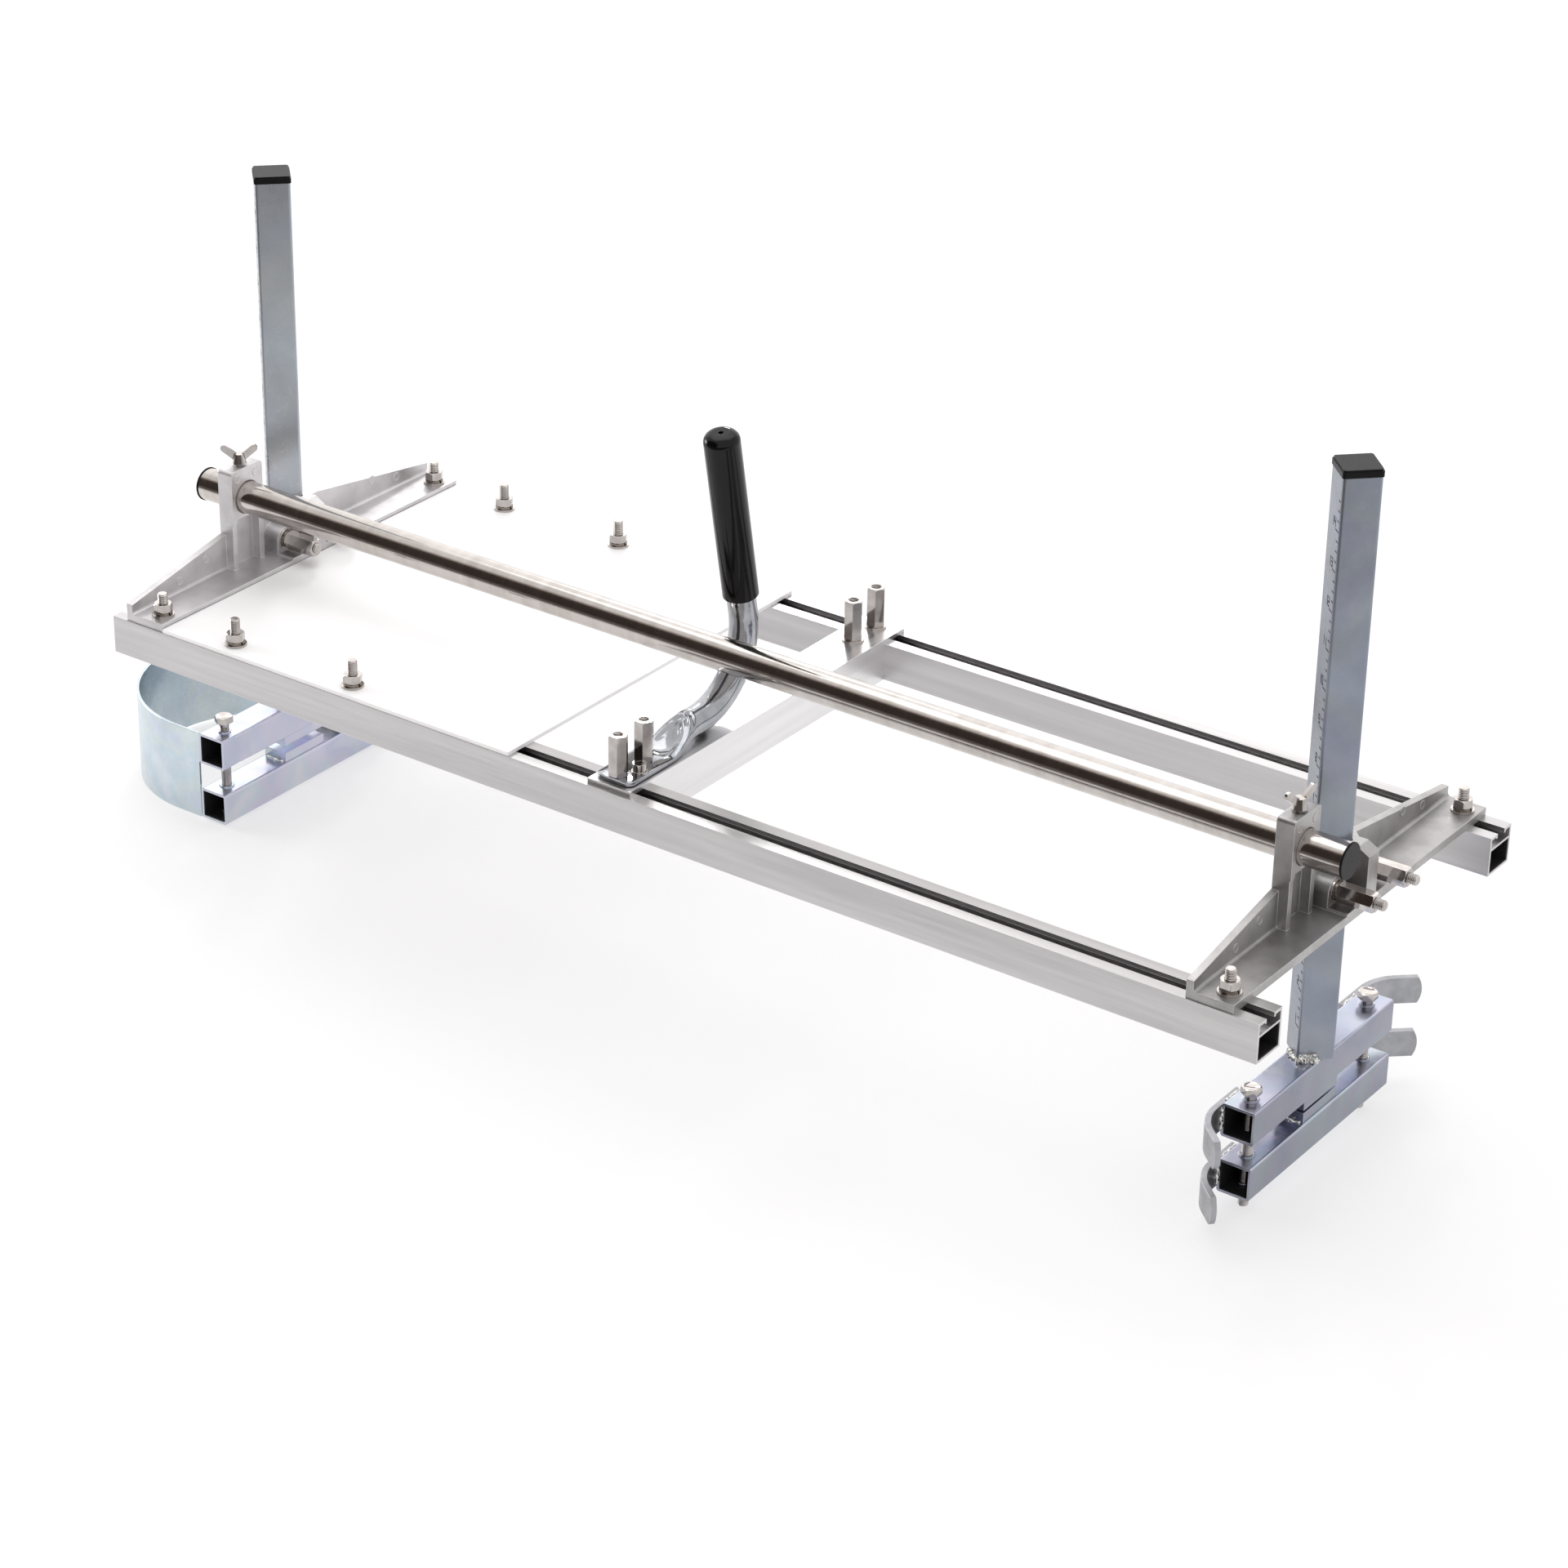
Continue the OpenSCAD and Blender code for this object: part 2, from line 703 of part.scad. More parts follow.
module u_bolt(stud_end) {
    point = 1;
    leg = nut_x + clamp_nut_l + stud_end - point;
    translate([0, post_y, stud_z]) {
        for (turn = [90, 180])
            rotate([0, 0, turn]) rotate_extrude(angle = 90, $fn = 96)
                translate([leg_y, 0]) circle(r = leg_r);
        for (side = [-1, 1])
            translate([0, side * leg_y, 0]) rotate([0, 90, 0]) {
                cylinder(h = leg, r = leg_r);
                translate([0, 0, leg]) cylinder(h = point, r1 = leg_r, r2 = leg_r - point);
            }
    }
}

module clamp_nut(side) { on_stud(side, nut_x) rotate([0, 0, 30]) nut(clamp_nut_l, run_fit); }

// Wing screw: a shank in the plate, a tapered hub and two raised wings
module wing_screw(turn) {
    tip_z = bar_z + bar_d / 2 + tip_gap;
    hub_z = plate_top + 1.5;
    translate([plate_t / 2, bar_y, 0]) rotate([0, 0, turn]) {
        translate([0, 0, tip_z]) cylinder(h = hub_z - tip_z + 1, d = wing_d);
        translate([0, 0, hub_z]) cylinder(h = wing_hub_h, d1 = wing_hub_d, d2 = wing_hub_d - 3);
        for (side = [0, 180])
            rotate([0, 0, side]) translate([0, wing_t / 2, hub_z + wing_w / 2])
                rotate([90, 0, 0]) rotate([0, 0, wing_rise]) linear_extrude(wing_t) {
                    translate([0, -wing_w / 2]) square([wing_l, wing_w]);
                    translate([wing_l, 0]) circle(d = wing_w);
                }
    }
}

// Push bar

module on_bar(x) { translate([x, bar_y, rail_s + bar_z]) rotate([0, 90, 0]) children(); }

bar_x0 = -bar_left + bar_cap_t;
bar_x1 = rail_l - bar_right_in - bar_cap_t;

// Cap with its rim outside the tube and a hollow plug inside it
module bar_cap() {
    rim_r = bar_d / 2 + bar_cap_lip;
    plug_r = bar_d / 2 - bar_wall - seat_fit;
    edge = 0.5;
    cylinder(h = bar_cap_t - edge, r = rim_r);
    translate([0, 0, bar_cap_t - edge]) cylinder(h = edge, r1 = rim_r, r2 = rim_r - edge);
    translate([0, 0, -bar_cap_plug]) difference() {
        cylinder(h = bar_cap_plug, r = plug_r);
        translate([0, 0, -cut]) cylinder(h = bar_cap_plug, r = plug_r - 2);
    }
}

// Square tube

module rounded_square(s, r) {
    translate([-s / 2, -s / 2]) {
        translate([r, 0]) square([s - 2 * r, s]);
        translate([0, r]) square([s, s - 2 * r]);
        for (x = [r, s - r], y = [r, s - r]) translate([x, y]) circle(r = r);
    }
}

inner_r = 0.5;

module tube_section(s) {
    difference() {
        rounded_square(s, tube_r);
        rounded_square(s - 2 * tube_wall, inner_r);
    }
}

// Posts stand on edge, so that one corner points into the V seat

module post(x0, z0) {
    placed() translate([x0, post_y, z0]) rotate([0, 0, 45]) linear_extrude(post_l)
        tube_section(post_s);
}

module post_cap(x0, z0) {
    side = post_s + 2 * cap_lip;
    edge = 1.5;
    placed() translate([x0, post_y, z0 + post_l]) rotate([0, 0, 45]) {
        linear_extrude(cap_h - edge) rounded_square(side, tube_r);
        translate([0, 0, cap_h - edge]) linear_extrude(edge) rounded_square(side - edge, tube_r);
        translate([0, 0, -cap_plug])
            linear_extrude(cap_plug)
                rounded_square(post_s - 2 * tube_wall - 2 * seat_fit, inner_r);
    }
}

// Jaws

module jaw_tube(x0, top, threaded) {
    placed() translate([x0, post_y, top - tube_s / 2]) difference() {
        union() {
            translate([0, jaw_l / 2, 0]) rotate([90, 0, 0]) linear_extrude(jaw_l)
                tube_section(tube_s);
            for (side = [-1, 1]) translate([0, side * jaw_bolt_dy, 0]) {
                translate([0, 0, (tube_s - tube_wall) / 2])
                    cylinder(h = tube_wall / 2 + collar_h, d = collar_d);
                if (threaded)
                    translate([0, 0, (tube_wall - tube_s) / 2])
                        cylinder(h = tube_wall / 2 + thread_collar_h, d = collar_d);
            }
        }
        for (side = [-1, 1])
            translate([0, side * jaw_bolt_dy, -tube_s])
                cylinder(h = 2 * tube_s, r = bolt_d / 2 + run_fit);
    }
}

module jaw_pad(x0, z0) {
    w = tube_s - 2 * pad_inset;
    placed() translate([x0 - w / 2, post_y - pad_l / 2, z0]) cube([w, pad_l, pad_t]);
}

// Hangs from its head, with its tip on the floor
module jaw_bolt(x0, side, l) {
    placed() translate([x0, post_y + side * jaw_bolt_dy, floor_z + l])
        rotate([180, 0, 0]) bolt(l, head_h);
}

// Half-round sheet that shields the nose of the saw bar

module guard_outline(r) {
    translate([-guard_straight, 0]) circle(r = r, $fn = 128);
    translate([-guard_straight, -r]) square([guard_straight + 2 * cut, 2 * r]);
}

module guard() {
    placed() translate([bracket_left_x - tube_s / 2, post_y, top_ul - guard_h]) difference() {
        linear_extrude(guard_h) difference() {
            guard_outline(guard_r);
            guard_outline(guard_r - guard_t);
            translate([0, -2 * guard_r]) square(4 * guard_r);
        }
        // the lower jaw passes these edges
        translate([-guard_relief, -2 * guard_r, -cut])
            cube([2 * guard_r, 4 * guard_r, guard_h - tube_s + cut]);
    }
}

// Log dogs, drawn for the near end of a jaw tube and mirrored for the far end

module dog_tip_outline() {
    centre = dog_tip_l - dog_tip_r;
    square([centre + sqrt(pow(dog_tip_r, 2) - pow(dog_h / 2, 2)), dog_h]);
    intersection() {
        translate([centre, dog_h / 2]) circle(r = dog_tip_r);
        square([dog_tip_l, dog_h]);
    }
}

module dog(top, side) {
    start = jaw_l / 2 + dog_straight;
    placed() translate([bracket_right_x - tube_s / 2, post_y, top - dog_drop - dog_h])
        mirror([0, side > 0 ? 1 : 0, 0]) {
            translate([-dog_t, -start, 0]) cube([dog_t, dog_straight + dog_weld_l, dog_h]);
            translate([dog_bend_r, -start, 0]) {
                rotate([0, 0, 180]) rotate_extrude(angle = dog_bend_a, $fn = 96)
                    translate([dog_bend_r, 0]) square([dog_t, dog_h]);
                rotate([0, 0, 180 + dog_bend_a]) translate([dog_bend_r, 0, 0])
                    rotate([90, 0, 90]) linear_extrude(dog_t) dog_tip_outline();
            }
        }
}

// The nodes

module rail_near() { placed() color(alu) rail(0); }

module rail_far() { placed() color(alu) rail(frame_w - rail_s); }

module deck_plate() { placed() color(sheet) deck(); }

module frame_slot_bolts() {
    placed() color(bright) {
        at_deck_bolts() slot_bolt();
        at_left_flange() slot_bolt();
        at_cross([slot_y, far_slot_y]) slot_bolt();
    }
}

module frame_washers() {
    placed() color(bright) {
        over_deck() flat_washer();
        over_left_flange() flat_washer();
        at_cross(far_nuts) translate([0, 0, cross_top]) flat_washer();
    }
}

module frame_spring_washers() {
    placed() color(bright) {
        over_deck(washer_t) spring_washer();
        over_left_flange(washer_t) spring_washer();
    }
}

module frame_nuts() {
    placed() color(bright) {
        over_deck(stack_t) nut(nut_h, seat_fit);
        over_left_flange(stack_t) nut(nut_h, seat_fit);
    }
}

module cross_member() { placed() color(alu) cross_channel(); }

module cross_plain_bolts() {
    placed() color(bright) at_cross([near_nuts[1], far_nuts[0]]) translate([0, 0, rail_s])
        bolt(slot_seat_z + slot_bolt_l - rail_s, head_h);
}

module cross_long_nuts() {
    placed() color(bright) {
        at_cross(near_nuts) translate([0, 0, foot_top]) nut(cross_nut_l, seat_fit);
        at_cross(far_nuts) translate([0, 0, cross_top + washer_t]) nut(cross_nut_l, seat_fit);
    }
}

module handle_tube() { placed() color(steel) translate([cross_x, 0, 0]) handle(); }

module handle_grip() {
    placed() color(black) translate([cross_x, 0, 0]) on_grip_axis(grip_gap) grip();
}

module handle_screw() { placed() color(steel) at_cap_screw(foot_top + washer_t) cap_screw(); }

module handle_screw_washer() {
    placed() color(steel) at_cap_screw(foot_top) flat_washer(cap_head_d + 2, cap_screw_d);
}

module bracket_left() { color(cast) on_left_bracket() bracket(); }

module u_bolt_left() { color(bright) on_left_bracket() u_bolt(stud_end_left); }

module u_bolt_washers_left() { color(bright) on_left_bracket() on_studs(boss_l) flat_washer(); }

module u_bolt_springs_left() {
    color(bright) on_left_bracket() on_studs(boss_l + washer_t) spring_washer();
}

module clamp_nut_left_near() { color(bright) on_left_bracket() clamp_nut(-1); }

module clamp_nut_left_far() { color(bright) on_left_bracket() clamp_nut(1); }

module wing_screw_left() { color(bright) on_left_bracket() wing_screw(wing_turn_left); }

module push_bar() {
    placed() color(bright) on_bar(bar_x0)
        linear_extrude(bar_x1 - bar_x0) tube_ring(bar_d, bar_wall);
}

module push_bar_caps() {
    placed() color(black) {
        on_bar(bar_x1) bar_cap();
        on_bar(bar_x0) rotate([180, 0, 0]) bar_cap();
    }
}

module bracket_right() { color(cast) on_right_bracket() bracket(); }

module bracket_slot_bolts() { placed() color(bright) at_right_flange() slot_bolt(); }

module bracket_washers() { placed() color(bright) over_right_flange() flat_washer(); }

module bracket_spring_washers() {
    placed() color(bright) over_right_flange(washer_t) spring_washer();
}

module bracket_nuts() { placed() color(bright) over_right_flange(stack_t) nut(nut_h, seat_fit); }

module u_bolt_right() { color(bright) on_right_bracket() u_bolt(stud_end_right); }

module u_bolt_washers_right() {
    color(bright) on_right_bracket() on_studs(boss_l) flat_washer();
}

module u_bolt_springs_right() {
    color(bright) on_right_bracket() on_studs(boss_l + washer_t) spring_washer();
}

module clamp_nut_right_near() { color(bright) on_right_bracket() clamp_nut(-1); }

module clamp_nut_right_far() { color(bright) on_right_bracket() clamp_nut(1); }

module wing_screw_right() { color(bright) on_right_bracket() wing_screw(wing_turn_right); }

module post_left() { color(zinc) post(bracket_left_x, top_ul); }

module post_cap_left() { color(black) post_cap(bracket_left_x, top_ul); }

module upper_jaw_left() { color(zinc) jaw_tube(bracket_left_x, top_ul, false); }

module upper_pad_left() { color(zinc) jaw_pad(bracket_left_x, top_ul - tube_s - pad_t); }

module nose_guard() { color(zinc) guard(); }

module lower_jaw_left() { color(zinc) jaw_tube(bracket_left_x, top_ll, true); }

module lower_pad_left() { color(zinc) jaw_pad(bracket_left_x, top_ll); }

module jaw_bolt_left_near() { color(bright) jaw_bolt(bracket_left_x, -1, jaw_bolt_left_l); }

module jaw_bolt_left_far() { color(bright) jaw_bolt(bracket_left_x, 1, jaw_bolt_left_l); }

module post_right() { color(zinc) post(bracket_right_x, top_ur); }

module post_cap_right() { color(black) post_cap(bracket_right_x, top_ur); }

module upper_jaw_right() { color(zinc) jaw_tube(bracket_right_x, top_ur, false); }

module upper_pad_right() { color(zinc) jaw_pad(bracket_right_x, top_ur - tube_s - pad_t); }

module dog_upper_near() { color(zinc) dog(top_ur, -1); }

module dog_upper_far() { color(zinc) dog(top_ur, 1); }

module lower_jaw_right() { color(zinc) jaw_tube(bracket_right_x, top_lr, true); }

module lower_pad_right() { color(zinc) jaw_pad(bracket_right_x, top_lr); }

module dog_lower_near() { color(zinc) dog(top_lr, -1); }

module dog_lower_far() { color(zinc) dog(top_lr, 1); }

module jaw_bolt_right_near() {
    color(bright) jaw_bolt(bracket_right_x, -1, jaw_bolt_right_l);
}

module jaw_bolt_right_far() {
    color(bright) jaw_bolt(bracket_right_x, 1, jaw_bolt_right_l);
}

rail_near();
rail_far();
deck_plate();
frame_slot_bolts();
frame_washers();
frame_spring_washers();
frame_nuts();
cross_member();
cross_plain_bolts();
cross_long_nuts();
handle_tube();
handle_grip();
handle_screw();
handle_screw_washer();
bracket_left();
u_bolt_left();
u_bolt_washers_left();
u_bolt_springs_left();
clamp_nut_left_near();
clamp_nut_left_far();
wing_screw_left();
push_bar();
push_bar_caps();
bracket_right();
bracket_slot_bolts();
bracket_washers();
bracket_spring_washers();
bracket_nuts();
u_bolt_right();
u_bolt_washers_right();
u_bolt_springs_right();
clamp_nut_right_near();
clamp_nut_right_far();
wing_screw_right();
post_left();
post_cap_left();
upper_jaw_left();
upper_pad_left();
nose_guard();
lower_jaw_left();
lower_pad_left();
jaw_bolt_left_near();
jaw_bolt_left_far();
post_right();
post_cap_right();
upper_jaw_right();
upper_pad_right();
dog_upper_near();
dog_upper_far();
lower_jaw_right();
lower_pad_right();
dog_lower_near();
dog_lower_far();
jaw_bolt_right_near();
jaw_bolt_right_far();
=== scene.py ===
"""Looks of the log cutting frame: plated and cast metal finishes on the CAD nodes, and threads,
welds, marks and the pressed handle as worked-out surfaces. Millimetres below are the drawing's
own: X along the rails from their left end, Y from the near rail's outer face, Z from the rails'
underside."""

import math

import bpy
import numpy as np
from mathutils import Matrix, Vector


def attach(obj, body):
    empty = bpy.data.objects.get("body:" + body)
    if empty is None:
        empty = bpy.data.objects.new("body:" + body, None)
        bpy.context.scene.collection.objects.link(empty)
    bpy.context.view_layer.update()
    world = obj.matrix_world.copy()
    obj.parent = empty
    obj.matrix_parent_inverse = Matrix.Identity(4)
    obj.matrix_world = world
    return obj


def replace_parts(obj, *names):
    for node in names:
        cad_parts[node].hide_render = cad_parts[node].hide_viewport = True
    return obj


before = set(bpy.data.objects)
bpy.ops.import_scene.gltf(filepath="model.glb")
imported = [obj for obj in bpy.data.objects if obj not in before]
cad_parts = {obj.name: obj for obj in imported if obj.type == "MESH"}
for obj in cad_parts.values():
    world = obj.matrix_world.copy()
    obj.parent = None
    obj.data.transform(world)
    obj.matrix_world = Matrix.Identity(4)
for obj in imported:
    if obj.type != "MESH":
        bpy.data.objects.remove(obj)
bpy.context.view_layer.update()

MM = 0.001
# Where the drawing's zero lies in the row frame, in mm
ZERO = np.array([-446.05, -175.0, 181.0])

# Places that several pieces share, in mm
TABLE_Z = -181.0
RAIL_TOP = 30.0
RAIL_L = 1010.0
SLOT_YS = (15.0, 335.0)
CROSS_X = 476.0
LEFT_X = 14.0
RIGHT_X = 954.0
POST_Y = 182.0
ENDS = (("left", LEFT_X, "frame"), ("right", RIGHT_X, "carriage"))


# Surfaces


def around(count):
    """Angles of evenly spaced points round a circle."""
    return np.linspace(0, 2 * math.pi, count, endpoint=False)


def about_z(radius, angle, height):
    """Points at a radius and an angle round the Z axis, at a height."""
    return np.stack([radius * np.cos(angle), radius * np.sin(angle), height], -1)


def quads(rows, columns, hoop=False):
    """Corner numbers of the cells between closed rings of points: each point with its right,
    upper right and upper neighbour. In a hoop the last ring is joined to the first."""
    row = np.arange(rows if hoop else rows - 1)[:, None]
    column = np.arange(columns)[None, :]
    up, right = (row + 1) % rows, (column + 1) % columns
    cells = [
        row * columns + column,
        row * columns + right,
        up * columns + right,
        up * columns + column,
    ]
    return np.stack(np.broadcast_arrays(*cells), -1).reshape(-1, 4)


def capped(grid):
    """Points and faces of a rod: rings of points joined in order, and a fan to the middle of
    the first and the last ring. Faces look outward when the rings turn left going forward."""
    rows, columns = grid.shape[:2]
    points = np.vstack([grid.reshape(-1, 3), grid[0].mean(0), grid[-1].mean(0)])
    here = np.arange(columns)
    after = (here + 1) % columns
    last = (rows - 1) * columns
    foot = np.stack([after, here, np.full(columns, rows * columns)], -1)
    head = np.stack([last + here, last + after, np.full(columns, rows * columns + 1)], -1)
    return points, [quads(rows, columns), foot, head]


def ring(grid):
    """Points and faces of a closed hoop: the last ring of points is joined to the first."""
    return grid.reshape(-1, 3), [quads(*grid.shape[:2], hoop=True)]


def turned(profile, columns):
    """Lathe work about Z: each (radius, height) of the profile swept through a full circle."""
    profile = np.asarray(profile, float)
    height = np.broadcast_to(profile[:, 1:], (len(profile), columns))
    return about_z(profile[:, :1], around(columns), height)


def placed(shape, matrix=np.eye(3), at=(0, 0, 0)):
    """The same faces with each point turned by the matrix and moved to a place in mm."""
    points, faces = shape
    return points @ np.asarray(matrix, float).T + np.asarray(at, float), faces


def several(maker, places):
    """The shapes that a function makes at each of several places, in one list."""
    return [shape for place in places for shape in maker(*place)]


# Columns of each matrix are where a shape's own X, Y and Z point
HANGING = np.diag([1.0, -1.0, -1.0])
ALONG_X = np.array([[0.0, 0.0, 1.0], [0.0, 1.0, 0.0], [-1.0, 0.0, 0.0]])
ALONG_RAIL = np.array([[0.0, 1.0, 0.0], [-1.0, 0.0, 0.0], [0.0, 0.0, 1.0]])


# Materials


def paint(code):
    """Linear red, green, blue and alpha of an sRGB hex colour."""
    parts = [int(code[i : i + 2], 16) / 255 for i in (1, 3, 5)]
    return [p / 12.92 if p <= 0.04045 else ((p + 0.055) / 1.055) ** 2.4 for p in parts] + [1.0]


def put(tree, kind, inputs=None, **settings):
    """Adds a node with its settings; an input is a plain value or the output linked to it."""
    made = tree.nodes.new("ShaderNode" + kind)
    for key, value in settings.items():
        setattr(made, key, value)
    for key, value in (inputs or {}).items():
        if isinstance(value, bpy.types.NodeSocket):
            tree.links.new(value, made.inputs[key])
        else:
            made.inputs[key].default_value = value
    return made


# The noise values between which patches, grain and clouds of tint go from one tone to the other
PATCH_SPAN = (0.34, 0.66)
GRAIN_SPAN = (0.3, 0.7)
TINT_SPAN = (0.3, 0.7)
# How strongly the clouds of tint show, and how far an arris is rubbed to its edge colour
TINT_SHARE = 0.75
RUBBED_SHARE = 0.8
# Cosine between a face and its rounded arris, from untouched to fully rubbed
RUBBED_SPAN = (0.99, 0.9)
# Height of a face's normal, from standing to lying, over which the painted shade of standing faces
# fades
LEAN_SPAN = (0.2, 0.8)
# Open sky over a point, from the bottom of a groove to unshaded, and the colour that painted shade
# leaves down there
SKY_SPAN = (0.4, 0.92)
DEEPEST_SHADE = 0.06


def finish(
    name,
    pale,
    dark,
    rough,
    metallic=1.0,
    patch_mm=40,
    grain_mm=1.2,
    relief_mm=0.03,
    stretch=(1, 1, 1),
    edge_mm=0.5,
    edge=None,
    tints=(),
    tint_mm=60,
    shine=0.5,
    hollow_shade_mm=0.0,
    detail=5.0,
    standing_shade=1.0,
):
    """A finish whose colour drifts between two tones in patches, with fine grain in relief and
    roughness, and arrises that are rounded and rubbed bright over edge_mm. Tints are weak
    colours that a plating shows in clouds; stretch below 1 draws the grain out along an axis.
    Painted shade darkens grooves and joints closed in within hollow_shade_mm; detail is how finely
    the patches break up, and standing_shade how far painted shade dims the standing faces beside
    the lying ones."""
    made = bpy.data.materials.new(name)
    made.use_nodes = True
    tree = made.node_tree
    tree.nodes.clear()
    place = put(tree, "TexCoord").outputs["Object"]
    drawn = put(tree, "Mapping", {"Vector": place, "Scale": stretch}).outputs["Vector"]
    patch = put(
        tree,
        "TexNoise",
        {"Vector": drawn, "Scale": 1 / (patch_mm * MM), "Detail": detail, "Roughness": 0.6},
    ).outputs["Fac"]
    grain = put(
        tree,
        "TexNoise",
        {"Vector": drawn, "Scale": 1 / (grain_mm * MM), "Detail": 2.0, "Roughness": 0.55},
    ).outputs["Fac"]
    clear = put(
        tree,
        "MapRange",
        {"Value": patch, "From Min": PATCH_SPAN[0], "From Max": PATCH_SPAN[1]},
    ).outputs["Result"]
    colour = put(
        tree, "Mix", {0: clear, 6: paint(dark), 7: paint(pale)}, data_type="RGBA"
    ).outputs[2]
    if tints:
        cloud = put(
            tree,
            "TexNoise",
            {"Vector": place, "Scale": 1 / (tint_mm * MM), "Detail": 1.5, "Distortion": 0.6},
        ).outputs["Fac"]
        band = put(tree, "ValToRGB", {"Fac": cloud})
        stops = band.color_ramp.elements
        stops[0].position, stops[1].position = TINT_SPAN
        for position in np.linspace(*TINT_SPAN, len(tints))[1:-1]:
            stops.new(position)
        for stop, tint in zip(stops, tints):
            stop.color = paint(tint)
        colour = put(
            tree,
            "Mix",
            {0: TINT_SHARE, 6: colour, 7: band.outputs["Color"]},
            data_type="RGBA",
            blend_type="MULTIPLY",
        ).outputs[2]
    surface = put(tree, "NewGeometry").outputs["Normal"]
    rounded = put(tree, "Bevel", {"Radius": edge_mm * MM}, samples=6).outputs["Normal"]
    turn = put(
        tree, "VectorMath", {0: surface, 1: rounded}, operation="DOT_PRODUCT"
    ).outputs["Value"]
    rubbed = put(
        tree,
        "MapRange",
        {
            "Value": turn,
            "From Min": RUBBED_SPAN[0],
            "From Max": RUBBED_SPAN[1],
            "To Max": RUBBED_SHARE,
        },
    ).outputs["Result"]
    colour = put(
        tree, "Mix", {0: rubbed, 6: colour, 7: paint(edge or pale)}, data_type="RGBA"
    ).outputs[2]
    if standing_shade < 1:
        height = put(tree, "SeparateXYZ", {"Vector": surface}).outputs["Z"]
        lean = put(tree, "Math", {0: height}, operation="ABSOLUTE").outputs[0]
        lit = put(
            tree,
            "MapRange",
            {"Value": lean, "From Min": LEAN_SPAN[0], "From Max": LEAN_SPAN[1], "To Min": standing_shade},
        ).outputs["Result"]
        colour = put(
            tree, "VectorMath", {0: colour, "Scale": lit}, operation="SCALE"
        ).outputs["Vector"]
    if hollow_shade_mm:
        sky = put(
            tree, "AmbientOcclusion", {"Distance": hollow_shade_mm * MM}, samples=6, only_local=True
        ).outputs["AO"]
        unshaded = put(
            tree,
            "MapRange",
            {"Value": sky, "From Min": SKY_SPAN[0], "From Max": SKY_SPAN[1], "To Min": DEEPEST_SHADE},
        ).outputs["Result"]
        colour = put(
            tree, "VectorMath", {0: colour, "Scale": unshaded}, operation="SCALE"
        ).outputs["Vector"]
    worn = put(
        tree,
        "MapRange",
        {
            "Value": grain,
            "From Min": GRAIN_SPAN[0],
            "From Max": GRAIN_SPAN[1],
            "To Min": rough[0],
            "To Max": rough[1],
        },
    ).outputs["Result"]
    lumps = put(
        tree,
        "Bump",
        {"Height": grain, "Strength": 1.0, "Distance": relief_mm * MM, "Normal": rounded},
    ).outputs["Normal"]
    shader = put(
        tree,
        "BsdfPrincipled",
        {
            "Base Color": colour,
            "Roughness": worn,
            "Normal": lumps,
            "Metallic": metallic,
            "Specular IOR Level": shine,
        },
    )
    put(tree, "OutputMaterial", {"Surface": shader.outputs["BSDF"]})
    return made


# Clear-anodised extrusion: pale satin, with die lines drawn out along the bar
ANODISED_RAIL = finish(
    "anodised_extruded_aluminium",
    "#D0CECF",
    "#C3C1C2",
    (0.3, 0.4),
    patch_mm=9,
    grain_mm=1.6,
    relief_mm=0.008,
    stretch=(0.03, 1, 1),
    edge_mm=0.5,
    edge="#F4F3F4",
)
# The same extrusion cut across the frame, so its die lines run along Y; its paler tone than the
# rails' is painted light
LIT_ANODISED_CROSS = finish(
    "lit_anodised_cross_extrusion",
    "#ECEBEC",
    "#E2E0E1",
    (0.3, 0.4),
    patch_mm=9,
    grain_mm=1.6,
    relief_mm=0.008,
    stretch=(1, 0.03, 1),
    edge_mm=0.4,
    edge="#F4F3F4",
)
# Sheet with a smooth white lacquer: plain white, with a faint grain of the sheet under it
LACQUERED_DECK = finish(
    "white_lacquered_sheet",
    "#FCFBFC",
    "#F8F7F8",
    (0.4, 0.5),
    metallic=0.0,
    patch_mm=60,
    grain_mm=1.5,
    relief_mm=0.004,
    stretch=(0.05, 1, 1),
    edge_mm=0.3,
)
# Sand-cast aluminium, shot-blasted: a fine pebbled grey, with rubbed bright edges. A lit copy for
# the left casting and a darker copy for the right one, which stands in painted shade
LIT_CASTING, SHADED_CASTING = (
    finish(
        name,
        pale,
        dark,
        (0.38, 0.5),
        patch_mm=22,
        grain_mm=1.1,
        relief_mm=0.05,
        edge_mm=0.8,
        edge=edge,
    )
    for name, pale, dark, edge in (
        ("lit_blasted_casting", "#DCDADC", "#CBC9CA", "#F2F0F1"),
        ("shaded_blasted_casting", "#B9B7B7", "#A5A3A3", "#DCDADB"),
    )
)
# Nickel-plated steel: bright and slightly warm, with painted shade that greys the standing faces
# and makes it nearly black down in the threads
NICKEL_FASTENER = finish(
    "nickel_plated_steel",
    "#E0DBD7",
    "#CCC6C2",
    (0.07, 0.12),
    patch_mm=9,
    grain_mm=2.0,
    relief_mm=0.003,
    edge_mm=0.25,
    edge="#F6F3F0",
    hollow_shade_mm=0.9,
    detail=1.0,
    standing_shade=0.68,
)
# Spring steel, oiled and only thinly plated: a dull brown-grey ring in the bright stack, its dark
# tone partly painted shade for the gap between nut and washer
SHADED_SPRING_STEEL = finish(
    "spring_steel_with_painted_shade",
    "#958D86",
    "#7A726B",
    (0.2, 0.3),
    patch_mm=4,
    grain_mm=1.0,
    relief_mm=0.01,
    edge_mm=0.2,
)
# Chrome-plated bent tube: mirror bright, with the faint ripple of the bending
CHROMED_TUBE = finish(
    "chromed_bent_tube",
    "#B2B4B8",
    "#989BA0",
    (0.06, 0.12),
    patch_mm=18,
    grain_mm=6,
    relief_mm=0.05,
    edge_mm=0.3,
)
